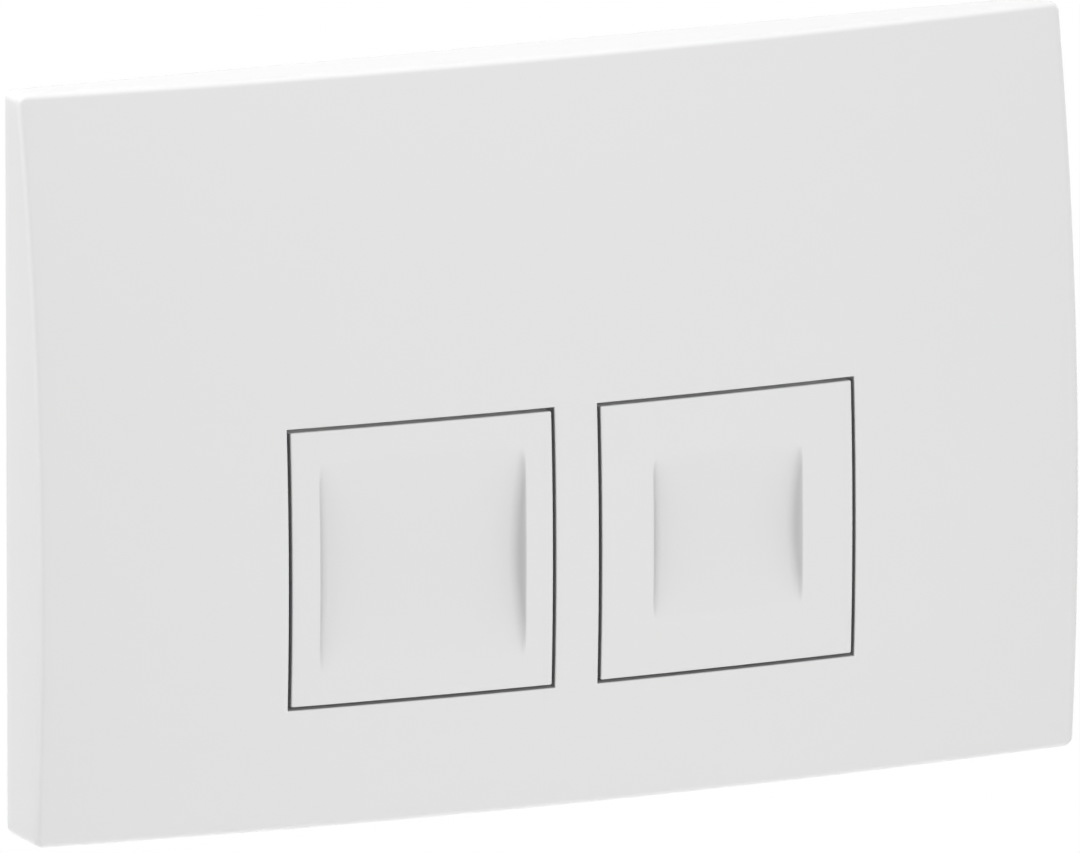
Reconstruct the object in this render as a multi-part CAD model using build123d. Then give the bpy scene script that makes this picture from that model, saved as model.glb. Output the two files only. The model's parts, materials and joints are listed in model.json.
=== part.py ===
from build123d import *
from math import asin, cos, degrees, radians, sin, sqrt, tan
import os

# Flush button plate of a concealed cistern: a crowned cover with two square tilting buttons,
# snapped on to a frame that two distance bolts hold, with sprung plungers and push rods behind.
# Frame: origin at the plate's centre on the wall, +X to the right, +Y into the wall, +Z up.
# Depths are measured from the wall plane towards the room, so a depth of d lies at y = -d.

# Cover, sizes in millimetres and angles in degrees
PLATE_WIDTH = 246.0
PLATE_HEIGHT = 164.0
CROWN_DEPTH = 26.1
CROWN_Z = -26.8
FRONT_RADIUS_WIDE = 960.0
FRONT_RADIUS_TALL = 536.0
EDGE_RADIUS = 1.6
CORNER_RADIUS = 2.2
SHELL = 2.5
COVER_RIB = 1.5
COVER_RIB_HEIGHT = 3.0

# Buttons and their windows
BUTTON_SIDE = 60.4
BUTTON_GAP = 0.75
BUTTON_SPACING = 72.0
BUTTON_Z = -24.2
BUTTON_CAP = 2.0
BUTTON_SKIRT = 1.8
BUTTON_RIB = 1.5
BUTTON_RIB_HEIGHT = 3.5
FULL_SCOOP = 48.2
PART_SCOOP = 36.2
SCOOP_DEPTH = 2.9
SCOOP_FILLET = 2.6
SCOOP_WALL_ANGLE = 56.0
COLLAR_WALL = 2.0
COLLAR_DEPTH = 10.0
STOP_GAP = 0.3
STOP_LIP = 2.0
STOP_LIP_WIDTH = 36.0
STOP_LIP_REACH = 2.0

# Button hinges
PIN_RADIUS = 1.5
HINGE_INSET = 4.5
HINGE_WALL = 1.2
HINGE_BOSS = 3.2
HINGE_BOSS_LENGTH = 5.0
RUNNING_FIT = 0.05
SEAT_FIT = 0.02
PRESS_ANGLE = 5.0

# Plungers, springs and push rods
PUSH_DROP = 14.0
PUSH_BOSS = 4.5
PUSH_GAP = 0.3
HEAD_RADIUS = 6.2
HEAD_LENGTH = 3.5
HEAD_TIP = 1.0
HEAD_CONE = 1.2
STEM_RADIUS = 4.0
STEM_TAIL = 4.0
ROD_RADIUS = 3.0
ROD_ENGAGED = 12.0
ROD_FREE_LENGTH = 58.0
ROD_CHAMFER = 1.0
WIRE_RADIUS = 0.5
SPRING_RADIUS = 5.2
SPRING_TURNS = 4.5
SPRING_SPARE = 5.0
SPRING_SIDES = 6

# Frame
FRAME_INSET = 15.0
FRAME_CORNER = 8.0
FRAME_THICK = 4.0
FRAME_RING = 11.0
FRAME_WALL = 2.4
FRAME_RIM = 3.0
BRIDGE_THICK = 3.5
TUB_TAIL = 1.5
BRIDGE_RISE = 14.0
BUSH_RADIUS = 6.0
BUSH_FLANGE = 8.0
BUSH_FLANGE_THICK = 2.0
BUSH_TAIL = 3.5
GUIDE_BOSS_WALL = 2.5

# Snap hooks between cover and frame
HOOK_WIDTH = 12.0
HOOK_THICK = 1.8
HOOK_GAP = 0.3
HOOK_REACH = 1.6
HOOK_TIP = 0.5
HOOK_SPACING = 130.0
CATCH_DEPTH = 2.0

# Distance bolts, washers and thumb nuts
BOLT_INSET = 31.0
BOLT_TO_TUB = 17.0
BOLT_TO_EDGE = 15.0
BOLT_FRONT_RADIUS = 3.0
BOLT_REAR_RADIUS = 4.0
BOLT_TIP = 1.0
BOLT_REAR_LENGTH = 46.0
BOLT_CHAMFER = 1.0
HEX_FLATS = 13.0
HEX_LENGTH = 6.0
HEX_RECESS = 1.5
HEX_ROOM = 1.0
SLOT_WIDTH = 7.0
SLOT_LENGTH = 13.0
WASHER_RADIUS = 8.5
WASHER_THICK = 1.2
WASHER_PLAY = 0.3
NUT_RADIUS = 9.0
NUT_NECK_RADIUS = 6.5
NUT_NECK = 2.0
NUT_HEAD = 5.5
NUT_GRIPS = 8
NUT_GRIP_RADIUS = 1.8

# Places worked out from the sizes above
WINDOW_SIDE = BUTTON_SIDE + 2 * BUTTON_GAP
COLLAR_SIDE = WINDOW_SIDE + 2 * COLLAR_WALL
COLLAR_BACK = CROWN_DEPTH - COLLAR_DEPTH
SKIRT_BACK = COLLAR_BACK - STOP_GAP - STOP_LIP
HINGE_DEPTH = COLLAR_BACK + PIN_RADIUS + HINGE_WALL
HINGE_Z = BUTTON_Z + BUTTON_SIDE / 2 - HINGE_INSET
PUSH_Z = BUTTON_Z - PUSH_DROP
HEAD_FRONT = SKIRT_BACK - PUSH_GAP
HEAD_BACK = HEAD_FRONT - HEAD_LENGTH
LEVER = HINGE_Z - PUSH_Z
PUSH_TRAVEL = LEVER * sin(radians(PRESS_ANGLE))
SPRING_LENGTH = PUSH_TRAVEL + SPRING_TURNS * 2 * WIRE_RADIUS + SPRING_SPARE
BUSH_FRONT = HEAD_BACK - SPRING_LENGTH
BRIDGE_FRONT = BUSH_FRONT - BUSH_FLANGE_THICK
BRIDGE_BACK = BRIDGE_FRONT - BRIDGE_THICK
TUB_BACK = BRIDGE_BACK - TUB_TAIL
BUSH_BACK = BRIDGE_BACK - BUSH_TAIL
STEM_BACK = BUSH_BACK - STEM_TAIL
FRAME_HEIGHT = PLATE_HEIGHT - 2 * FRAME_INSET
BOLT_SPACING = PLATE_WIDTH - 2 * BOLT_INSET
FRAME_WIDTH = BOLT_SPACING + 2 * BOLT_TO_EDGE
TUB_WIDTH = BOLT_SPACING - 2 * BOLT_TO_TUB
TUB_HEIGHT = FRAME_HEIGHT - 2 * FRAME_RING
NUT_BACK = FRAME_THICK + WASHER_THICK
NUT_FRONT = NUT_BACK + NUT_NECK + NUT_HEAD
HEX_BACK = HEX_RECESS - HEX_LENGTH
HEX_CORNERS = HEX_FLATS / cos(radians(30))
SIDES = {"full_flush": -1, "part_flush": 1}
SCOOPS = {"full_flush": FULL_SCOOP, "part_flush": PART_SCOOP}
HANDS = {"left": -1, "right": 1}


def slab(outline, low, high):
    """An outline drawn on the wall plane, made solid from depth low to depth high."""
    return extrude(Plane.XZ.offset(low) * outline, amount=high - low, dir=(0, -1, 0))


def bar(outline, left, right):
    """An outline drawn in y and z, made solid from x = left to x = right."""
    return extrude(Plane.YZ.offset(left) * outline, amount=right - left, dir=(1, 0, 0))


def behind_front(inset):
    """Everything behind the crowned front, moved in by inset.

    An upright arc is turned about an upright axis, so the front is a piece of a torus.
    """
    arc_radius = FRONT_RADIUS_TALL - inset
    arc_y = FRONT_RADIUS_TALL - CROWN_DEPTH
    axis_y = FRONT_RADIUS_WIDE - CROWN_DEPTH
    reach_z = PLATE_HEIGHT / 2 + abs(CROWN_Z) + SHELL
    reach_x = PLATE_WIDTH / 2 + SHELL
    tall = degrees(asin(reach_z / arc_radius))
    wide = degrees(asin(reach_x / (axis_y - CROWN_DEPTH)))
    arc = CenterArc((arc_y, CROWN_Z), arc_radius, 180 - tall, 2 * tall)
    top, foot = arc @ 0, arc @ 1
    back = Polyline(foot, (CROWN_DEPTH, foot.Y), (CROWN_DEPTH, top.Y), top)
    upright = Axis((0, axis_y, 0), (0, 0, 1))
    body = revolve(Plane.YZ * make_face(arc + back), upright, 2 * wide)
    return body.rotate(upright, -wide)


def front_depth(x, z):
    """Depth of the crowned front at a place on the plate."""
    drop = FRONT_RADIUS_TALL - sqrt(FRONT_RADIUS_TALL**2 - (z - CROWN_Z) ** 2)
    turn_radius = FRONT_RADIUS_WIDE - drop
    return sqrt(turn_radius**2 - x**2) - FRONT_RADIUS_WIDE + CROWN_DEPTH


def square(side, x, z):
    """A square outline on the wall plane."""
    return Pos(x, z) * Rectangle(side, side)


def cover_plate():
    """Crowned shell with two windows in collars, ribs, hinge pin holes and four snap hooks."""
    block = slab(RectangleRounded(PLATE_WIDTH, PLATE_HEIGHT, CORNER_RADIUS), 0, CROWN_DEPTH + SHELL)
    block = block & behind_front(0)
    front = block.faces().sort_by(Axis.Y)[0]
    block = fillet(front.edges(), EDGE_RADIUS)
    cavity = Rectangle(PLATE_WIDTH - 2 * SHELL, PLATE_HEIGHT - 2 * SHELL)
    cover = block - (slab(cavity, -SHELL, CROWN_DEPTH) & behind_front(SHELL))
    backing = behind_front(SHELL / 2)
    fittings = [hook(x, end) for x in (-1, 1) for end in (-1, 1)]
    fittings += cover_ribs()
    for side in SIDES.values():
        x = side * BUTTON_SPACING / 2
        fittings.append(slab(square(COLLAR_SIDE, x, BUTTON_Z), COLLAR_BACK, CROWN_DEPTH))
    for fitting in fittings:
        cover += fitting & backing
    for side in SIDES.values():
        x = side * BUTTON_SPACING / 2
        cover -= slab(square(WINDOW_SIDE, x, BUTTON_Z), 0, CROWN_DEPTH + SHELL)
        cover -= hinge_pin(side, SEAT_FIT)
    return cover


def cover_ribs():
    """Stiffening ribs behind the front: uprights above each window and cross ribs beside it."""
    ribs = []
    inside = behind_front(SHELL + COVER_RIB_HEIGHT)
    collar_top = BUTTON_Z + COLLAR_SIDE / 2
    cavity_top = PLATE_HEIGHT / 2 - SHELL / 2
    cavity_side = PLATE_WIDTH / 2 - SHELL / 2
    for side in SIDES.values():
        window_x = side * BUTTON_SPACING / 2
        for offset in (-BUTTON_SIDE / 4, BUTTON_SIDE / 4):
            upright = Rectangle(COVER_RIB, cavity_top - collar_top)
            upright = Pos(window_x + offset, (cavity_top + collar_top) / 2) * upright
            ribs.append(slab(upright, 0, CROWN_DEPTH) - inside)
            collar_x = BUTTON_SPACING / 2 + COLLAR_SIDE / 2
            cross = Rectangle(cavity_side - collar_x, COVER_RIB)
            cross = Pos(side * (cavity_side + collar_x) / 2, BUTTON_Z + offset) * cross
            ribs.append(slab(cross, 0, CROWN_DEPTH) - inside)
    return ribs


def hook(side, end):
    """A snap hook at a long edge of the frame: a flat beam with a barb under the frame's catch."""
    edge = FRAME_HEIGHT / 2 + HOOK_GAP
    barb_front = CATCH_DEPTH - HOOK_GAP
    profile = [
        (-HOOK_TIP, edge + HOOK_THICK),
        (-CROWN_DEPTH, edge + HOOK_THICK),
        (-CROWN_DEPTH, edge),
        (-barb_front, edge),
        (-barb_front, edge - HOOK_REACH),
        (-HOOK_TIP, edge - HOOK_GAP),
    ]
    outline = Polygon(*[(y, end * z) for y, z in profile], align=None)
    middle = side * HOOK_SPACING / 2
    return bar(outline, middle - HOOK_WIDTH / 2, middle + HOOK_WIDTH / 2)


def hinge_pin(side, clearance=0.0):
    """The steel pin across a window, from the outer face of one collar wall to that of the other."""
    middle = side * BUTTON_SPACING / 2
    circle = Pos(-HINGE_DEPTH, HINGE_Z) * Circle(PIN_RADIUS + clearance)
    return bar(circle, middle - COLLAR_SIDE / 2, middle + COLLAR_SIDE / 2)


def scoop(x, size, grow):
    """The finger scoop as a solid: a round floor from top to bottom between two sloped side walls.

    The floor is a level cylinder through the front at both ends of the scoop. The walls follow the
    crown of the front, and a fillet leads from them into the floor. The scoop is square to the front
    at x. Grown by a wall thickness it gives the wall behind the scoop.
    """
    proud = SCOOP_DEPTH
    middle = front_depth(x, BUTTON_Z)
    foot, top = [(middle - front_depth(x, BUTTON_Z + end), end) for end in (-size / 2, size / 2)]
    arc = ThreePointArc(foot, (SCOOP_DEPTH, 0), top)
    lean = radians(90 - SCOOP_WALL_ANGLE)
    deep = SCOOP_DEPTH + SCOOP_FILLET + grow
    edge = size / 2 + grow / cos(lean)
    wide, narrow = [edge + height * tan(lean) for height in (proud, -deep)]
    section = Polygon((-wide, -proud), (wide, -proud), (narrow, deep), (-narrow, deep), align=None)
    level = Axis((0, FRONT_RADIUS_TALL, 0), (1, 0, 0))
    turn = degrees(asin(size / FRONT_RADIUS_TALL))
    trough = revolve(section, level, 2 * turn).rotate(level, -turn)
    cylinder = bar(Pos(arc.arc_center) * Circle(arc.radius + grow), -wide, wide)
    tool = cylinder & Pos(0, 0, CROWN_Z - BUTTON_Z) * trough
    floor = tool.faces().sort_by(Axis.Y)[-1]
    sides = floor.edges().sort_by(Axis.X)
    tool = fillet([sides[0], sides[-1]], SCOOP_FILLET + grow)
    tilt = degrees(asin(x / FRONT_RADIUS_WIDE))
    return Location((x, -middle, BUTTON_Z), (0, 0, tilt)) * tool


def button(side, scoop_size):
    """A square cap with a scooped front, skirt, ribs, hinge bosses, stop lip and push boss."""
    x = side * BUTTON_SPACING / 2
    foot = BUTTON_Z - BUTTON_SIDE / 2
    inner = BUTTON_SIDE - 2 * BUTTON_SKIRT
    room = slab(square(inner, x, BUTTON_Z), 0, CROWN_DEPTH) & behind_front(BUTTON_CAP)
    room -= scoop(x, scoop_size, BUTTON_CAP)
    cap = slab(square(BUTTON_SIDE, x, BUTTON_Z), SKIRT_BACK, CROWN_DEPTH) & behind_front(0)
    cap -= room
    rib_back = front_depth(x, BUTTON_Z) - SCOOP_DEPTH - BUTTON_CAP - BUTTON_RIB_HEIGHT
    ribs = slab(Pos(x, PUSH_Z) * Rectangle(inner, BUTTON_RIB), rib_back, CROWN_DEPTH)
    ribs += slab(Pos(x, BUTTON_Z) * Rectangle(BUTTON_RIB, inner), rib_back, CROWN_DEPTH)
    ribs += slab(Pos(x, PUSH_Z) * Circle(PUSH_BOSS), SKIRT_BACK, CROWN_DEPTH)
    boss = Pos(-HINGE_DEPTH, HINGE_Z) * Circle(HINGE_BOSS)
    for hand in HANDS.values():
        wall = x + hand * inner / 2
        ends = sorted((wall + hand * BUTTON_SKIRT / 2, wall - hand * HINGE_BOSS_LENGTH))
        ribs += bar(boss, *ends)
    inside = slab(square(inner + BUTTON_SKIRT, x, BUTTON_Z), 0, CROWN_DEPTH)
    cap += ribs & inside & behind_front(BUTTON_CAP / 2)
    lip = Rectangle(STOP_LIP_WIDTH, STOP_LIP_REACH + BUTTON_GAP + BUTTON_SKIRT)
    lip_z = foot + BUTTON_SKIRT - (STOP_LIP_REACH + BUTTON_GAP + BUTTON_SKIRT) / 2
    cap += slab(Pos(x, lip_z) * lip, SKIRT_BACK, SKIRT_BACK + STOP_LIP)
    cap -= scoop(x, scoop_size, 0)
    return cap - hinge_pin(side, RUNNING_FIT)


def turned(points, x, z):
    """A solid of revolution about a line along y, from radius and depth pairs."""
    outline = Polygon(*[(radius, -depth) for radius, depth in points], align=None)
    return Pos(x, 0, z) * revolve(outline, Axis.Y)


def plunger(side):
    """Cone-faced head and round stem, with a bore at the back for the push rod."""
    bore_front = STEM_BACK + ROD_ENGAGED + SEAT_FIT
    bore = ROD_RADIUS + SEAT_FIT
    points = [
        (0, HEAD_FRONT),
        (HEAD_TIP, HEAD_FRONT),
        (HEAD_RADIUS, HEAD_FRONT - HEAD_CONE),
        (HEAD_RADIUS, HEAD_BACK),
        (STEM_RADIUS, HEAD_BACK),
        (STEM_RADIUS, STEM_BACK),
        (bore, STEM_BACK),
        (bore, bore_front),
        (0, bore_front),
    ]
    return turned(points, side * BUTTON_SPACING / 2, PUSH_Z)


def push_rod(side):
    """Round rod with bevelled ends, held in the plunger's bore."""
    front = STEM_BACK + ROD_ENGAGED
    back = STEM_BACK - ROD_FREE_LENGTH
    points = [
        (0, front),
        (ROD_RADIUS - ROD_CHAMFER, front),
        (ROD_RADIUS, front - ROD_CHAMFER),
        (ROD_RADIUS, back + ROD_CHAMFER),
        (ROD_RADIUS - ROD_CHAMFER, back),
        (0, back),
    ]
    return turned(points, side * BUTTON_SPACING / 2, PUSH_Z)


def return_spring(side):
    """Coil spring round the plunger's stem, from the bush's flange to the plunger's head."""
    height = SPRING_LENGTH - 2 * (WIRE_RADIUS + SEAT_FIT)
    path = Helix(height / SPRING_TURNS, height, SPRING_RADIUS)
    start = Plane(origin=path @ 0, x_dir=(1, 0, 0), z_dir=path % 0)
    wire = sweep(start * RegularPolygon(WIRE_RADIUS, SPRING_SIDES), path, is_frenet=True)
    foot_y = -(BUSH_FRONT + WIRE_RADIUS + SEAT_FIT)
    return Location((side * BUTTON_SPACING / 2, foot_y, PUSH_Z), (90, 0, 0)) * wire


def guide_bush(side):
    """Flanged bush seated in the frame's bridge."""
    bore = STEM_RADIUS + RUNNING_FIT
    points = [
        (bore, BUSH_FRONT),
        (BUSH_FLANGE, BUSH_FRONT),
        (BUSH_FLANGE, BRIDGE_FRONT),
        (BUSH_RADIUS, BRIDGE_FRONT),
        (BUSH_RADIUS, BUSH_BACK),
        (bore, BUSH_BACK),
    ]
    return turned(points, side * BUTTON_SPACING / 2, PUSH_Z)


def mounting_frame():
    """Flange on the wall, tub in the wall opening, and a bridge with two guide holes."""
    flange = RectangleRounded(FRAME_WIDTH, FRAME_HEIGHT, FRAME_CORNER)
    opening = Rectangle(TUB_WIDTH, TUB_HEIGHT)
    tub = Rectangle(TUB_WIDTH + 2 * FRAME_WALL, TUB_HEIGHT + 2 * FRAME_WALL)
    frame = slab(flange, 0, FRAME_THICK)
    frame += slab(tub, TUB_BACK, FRAME_THICK + FRAME_RIM)
    frame -= slab(opening, TUB_BACK - FRAME_WALL, FRAME_THICK + FRAME_RIM + FRAME_WALL)
    bridge_top = PUSH_Z + BRIDGE_RISE
    bridge_foot = -TUB_HEIGHT / 2 - FRAME_WALL / 2
    bridge = Rectangle(TUB_WIDTH + FRAME_WALL, bridge_top - bridge_foot)
    frame += slab(Pos(0, (bridge_top + bridge_foot) / 2) * bridge, BRIDGE_BACK, BRIDGE_FRONT)
    for side in SIDES.values():
        centre = Pos(side * BUTTON_SPACING / 2, PUSH_Z)
        frame += slab(centre * Circle(BUSH_RADIUS + GUIDE_BOSS_WALL), TUB_BACK, BRIDGE_FRONT)
        frame -= slab(centre * Circle(BUSH_RADIUS + SEAT_FIT), TUB_BACK - FRAME_WALL, BUSH_FRONT)
    for hand in HANDS.values():
        place = Pos(hand * BOLT_SPACING / 2, 0)
        frame -= slab(place * SlotOverall(SLOT_LENGTH, SLOT_WIDTH, rotation=90), 0, FRAME_THICK)
        recess_width = HEX_CORNERS + 2 * HEX_ROOM
        recess_length = HEX_CORNERS + SLOT_LENGTH - SLOT_WIDTH + 2 * HEX_ROOM
        frame -= slab(place * Rectangle(recess_width, recess_length), -HEX_RECESS, HEX_RECESS)
        for end in HANDS.values():
            frame -= catch(hand, end)
    return frame


def catch(side, end):
    """The pocket in the back of the frame's edge that a hook's barb snaps into."""
    deep = HOOK_REACH + HOOK_GAP
    outline = Rectangle(HOOK_WIDTH + 2 * HOOK_GAP, 2 * deep)
    return slab(Pos(side * HOOK_SPACING / 2, end * FRAME_HEIGHT / 2) * outline, -deep, CATCH_DEPTH)


def fixing_bolt(hand):
    """Distance bolt: front thread for the nut, hexagon behind the frame, rear thread for the cistern."""
    place = Pos(hand * BOLT_SPACING / 2, 0)
    tip = NUT_FRONT + BOLT_TIP
    back = HEX_BACK - BOLT_REAR_LENGTH
    middle = (HEX_RECESS + HEX_BACK) / 2
    hexagon = RegularPolygon(HEX_FLATS / 2, 6, major_radius=False)
    bolt = slab(place * hexagon, HEX_BACK, HEX_RECESS)
    front_points = [
        (0, tip),
        (BOLT_FRONT_RADIUS - BOLT_CHAMFER, tip),
        (BOLT_FRONT_RADIUS, tip - BOLT_CHAMFER),
        (BOLT_FRONT_RADIUS, middle),
        (0, middle),
    ]
    rear_points = [
        (0, middle),
        (BOLT_REAR_RADIUS, middle),
        (BOLT_REAR_RADIUS, back + BOLT_CHAMFER),
        (BOLT_REAR_RADIUS - BOLT_CHAMFER, back),
        (0, back),
    ]
    x = hand * BOLT_SPACING / 2
    return bolt + turned(front_points, x, 0) + turned(rear_points, x, 0)


def fixing_washer(hand):
    """Flat washer that covers the frame's slot."""
    ring = Circle(WASHER_RADIUS) - Circle(BOLT_FRONT_RADIUS + WASHER_PLAY)
    return slab(Pos(hand * BOLT_SPACING / 2, 0) * ring, FRAME_THICK, NUT_BACK)


def fixing_nut(hand):
    """Thumb nut with a round neck and a scalloped grip."""
    place = Pos(hand * BOLT_SPACING / 2, 0)
    grips = PolarLocations(NUT_RADIUS, NUT_GRIPS)
    head = Circle(NUT_RADIUS) - [grip * Circle(NUT_GRIP_RADIUS) for grip in grips]
    nut = slab(place * Circle(NUT_NECK_RADIUS), NUT_BACK, NUT_BACK + NUT_NECK)
    nut += slab(place * head, NUT_BACK + NUT_NECK, NUT_FRONT)
    return nut - slab(place * Circle(BOLT_FRONT_RADIUS + SEAT_FIT), 0, NUT_FRONT + BOLT_TIP)


def all_pieces():
    """Every piece of the plate by the name of its node."""
    pieces = {"cover_plate": cover_plate(), "mounting_frame": mounting_frame()}
    for name, side in SIDES.items():
        pieces[name + "_button"] = button(side, SCOOPS[name])
        pieces[name + "_hinge_pin"] = hinge_pin(side)
        pieces[name + "_plunger"] = plunger(side)
        pieces[name + "_push_rod"] = push_rod(side)
        pieces[name + "_return_spring"] = return_spring(side)
        pieces[name + "_guide_bush"] = guide_bush(side)
    for name, hand in HANDS.items():
        pieces["fixing_bolt_" + name] = fixing_bolt(hand)
        pieces["fixing_washer_" + name] = fixing_washer(hand)
        pieces["fixing_nut_" + name] = fixing_nut(hand)
    return pieces


os.makedirs("parts", exist_ok=True)
for node, solid in all_pieces().items():
    export_step(solid, f"parts/{node}.step")
print(f"hinge at depth {HINGE_DEPTH:.2f}, z {HINGE_Z:.2f}, lever to the push rod {LEVER:.2f} mm")
print(f"push rod travel {PUSH_TRAVEL:.2f} mm, spring from depth {BUSH_FRONT:.2f} to {HEAD_BACK:.2f}")
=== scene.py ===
# %% [markdown]
# # A flush button plate
# The plate covers the service window of a cistern that is built into a wall. A crowned white cover
# snaps on to a dark frame, and two square buttons tilt in it and push the rods that open the valve.
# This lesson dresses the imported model. Every piece stays where the model has it. All but the frame are
# worked out again as fine numpy grids in the same place, and each gets the finish of its real material.

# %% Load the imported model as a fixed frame
import json
import math

import bmesh
import bpy
import numpy as np
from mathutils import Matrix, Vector

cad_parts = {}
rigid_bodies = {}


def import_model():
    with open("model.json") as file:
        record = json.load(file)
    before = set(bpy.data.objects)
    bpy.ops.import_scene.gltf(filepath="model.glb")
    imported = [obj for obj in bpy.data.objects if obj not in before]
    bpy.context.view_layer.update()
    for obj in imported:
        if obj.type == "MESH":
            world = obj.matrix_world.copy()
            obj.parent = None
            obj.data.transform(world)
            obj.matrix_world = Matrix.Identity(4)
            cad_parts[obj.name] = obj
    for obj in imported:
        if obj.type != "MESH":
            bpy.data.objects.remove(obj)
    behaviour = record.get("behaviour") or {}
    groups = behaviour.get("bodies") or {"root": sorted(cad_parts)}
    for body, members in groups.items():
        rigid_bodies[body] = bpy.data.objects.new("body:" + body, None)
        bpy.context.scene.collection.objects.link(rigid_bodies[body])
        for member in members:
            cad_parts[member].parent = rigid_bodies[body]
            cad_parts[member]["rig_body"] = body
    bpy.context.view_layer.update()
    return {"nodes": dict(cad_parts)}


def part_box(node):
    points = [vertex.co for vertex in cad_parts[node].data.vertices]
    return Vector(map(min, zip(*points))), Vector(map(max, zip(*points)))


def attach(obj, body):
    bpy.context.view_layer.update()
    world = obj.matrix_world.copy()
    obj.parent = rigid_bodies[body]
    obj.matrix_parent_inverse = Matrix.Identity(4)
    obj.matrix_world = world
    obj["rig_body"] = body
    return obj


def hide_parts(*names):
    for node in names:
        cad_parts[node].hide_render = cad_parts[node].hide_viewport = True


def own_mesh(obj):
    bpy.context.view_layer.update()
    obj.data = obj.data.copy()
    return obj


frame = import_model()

# %% [markdown]
# ## Sizes
# A maker works in millimetres and Blender in metres, so shapes are worked out in millimetres and turned
# into metres when a mesh is made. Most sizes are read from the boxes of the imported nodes, so that the
# looks follow the model. Only what a box can't tell, such as a radius or a wall, is written here.

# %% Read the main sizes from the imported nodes
MM = 0.001
BOX_PLACES = 2
CROWN_PLACES = 1
SIDES = ("full_flush", "part_flush")
HANDS = ("left", "right")


def box_mm(node):
    """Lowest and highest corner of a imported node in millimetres, rounded to a hundredth."""
    return [np.round(np.array(corner) / MM, BOX_PLACES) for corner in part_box(node)]


plate_low, plate_high = box_mm("cover_plate")
cap_low, cap_high = box_mm("part_flush_button")
pin_low, pin_high = box_mm("part_flush_hinge_pin")
CROWN_DEPTH = round(-plate_low[1], CROWN_PLACES)
BUTTON_SIDE = cap_high[0] - cap_low[0]
BUTTON_X = (cap_low[0] + cap_high[0]) / 2
BUTTON_Z = cap_high[2] - BUTTON_SIDE / 2
COLLAR_SIDE = pin_high[0] - pin_low[0]
SIDE_X = dict(zip(SIDES, (-BUTTON_X, BUTTON_X)))
print(f"plate {plate_high[0] * 2:.1f} x {plate_high[2] * 2:.1f} mm, crown {CROWN_DEPTH} mm deep")
print(f"buttons {BUTTON_SIDE:.1f} mm square, {BUTTON_X * 2:.1f} mm apart")

# %% [markdown]
# ## The crowned front
# The front of the real cover bulges a little both ways, as a piece of a very large ring does. It could
# be sculpted or bent with a modifier, but two radii say it exactly: an upright arc is turned about an
# upright axis. The buttons and the inside of the shell use the same formula, so all of them line up.

# %% Give the front as a formula
CROWN_Z = -26.8
FRONT_RADIUS_WIDE = 960.0
FRONT_RADIUS_TALL = 536.0


def front_depth(x, z, inset=0.0):
    """Depth of the front towards the room: an upright arc turned about an upright axis behind it.

    An inset moves the whole surface back along its own normals, which shortens the upright arc's radius.
    """
    arc = np.sqrt((FRONT_RADIUS_TALL - inset) ** 2 - (z - CROWN_Z) ** 2)
    turn_radius = FRONT_RADIUS_WIDE - FRONT_RADIUS_TALL + arc
    return np.sqrt(turn_radius**2 - x**2) - FRONT_RADIUS_WIDE + CROWN_DEPTH


def place(x, z, depth):
    """Points of the shared frame from places on the plate and their depths towards the room."""
    x, z, depth = np.broadcast_arrays(x, z, depth)
    return np.stack([x, -depth, z], axis=-1)


corner_depth = front_depth(plate_high[0], plate_high[2])
print(f"front falls from {CROWN_DEPTH} at the crown to {corner_depth:.1f} mm at the upper corners")

# %% [markdown]
# ## From grids to closed pieces
# Each piece is a few grids of points that share their borders. The faces are the quads between
# neighbours, and merging the doubles along the borders closes the skin. This keeps the code short,
# and the edges can be laid just where the real part has them, which a boolean cut can't promise.

# %% Turn grids into a piece
MERGE = 0.002
NO_LENGTH = 0.0002
SHARP_ANGLE = math.radians(35)


def quads(rows, columns, keep=None):
    """Corner numbers of the quads between neighbours of a grid, without the cells that keep leaves out."""
    index = np.arange(rows * columns).reshape(rows, columns)
    corners = [index[:-1, :-1], index[:-1, 1:], index[1:, 1:], index[1:, :-1]]
    cells = np.stack(corners, axis=-1)
    return cells[keep] if keep is not None else cells.reshape(-1, 4)


def grid_mesh(name, patches):
    """One mesh from grids of points in millimetres, with doubles merged and faces turned outwards."""
    grids = [patch if isinstance(patch, tuple) else (patch, None) for patch in patches]
    counts = [grid.shape[0] * grid.shape[1] for grid, _ in grids]
    starts = np.cumsum([0] + counts[:-1])
    points = np.concatenate([grid.reshape(-1, 3) for grid, _ in grids]) * MM
    faces = [quads(*grid.shape[:2], keep) + start for (grid, keep), start in zip(grids, starts)]
    mesh = bpy.data.meshes.new(name)
    mesh.from_pydata(points.tolist(), [], np.concatenate(faces).tolist())
    close_mesh(mesh)
    return mesh


def close_mesh(mesh):
    """Merges doubles, drops faces with no area and turns the faces outwards."""
    skin = bmesh.new()
    skin.from_mesh(mesh)
    bmesh.ops.remove_doubles(skin, verts=skin.verts, dist=MERGE * MM)
    bmesh.ops.dissolve_degenerate(skin, dist=NO_LENGTH * MM, edges=skin.edges)
    bmesh.ops.recalc_face_normals(skin, faces=skin.faces)
    open_edges = sum(len(edge.link_faces) != 2 for edge in skin.edges)
    skin.to_mesh(mesh)
    skin.free()
    print(f"{mesh.name}: {len(mesh.polygons)} faces, {open_edges} open edges")


def add_piece(name, mesh, node, material):
    """Puts a mesh in the scene as the piece that stands for a node, riding on that node's body."""
    mesh.shade_smooth()
    mesh.set_sharp_from_angle(angle=SHARP_ANGLE)
    mesh.materials.clear()
    mesh.materials.append(material)
    piece = bpy.data.objects.new(name, mesh)
    bpy.context.scene.collection.objects.link(piece)
    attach(piece, frame["nodes"][node]["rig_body"])
    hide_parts(node)
    return piece


sample_rows, sample_columns = 3, 4
print(f"{sample_rows} x {sample_columns} points make {len(quads(sample_rows, sample_columns))} quads")

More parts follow.
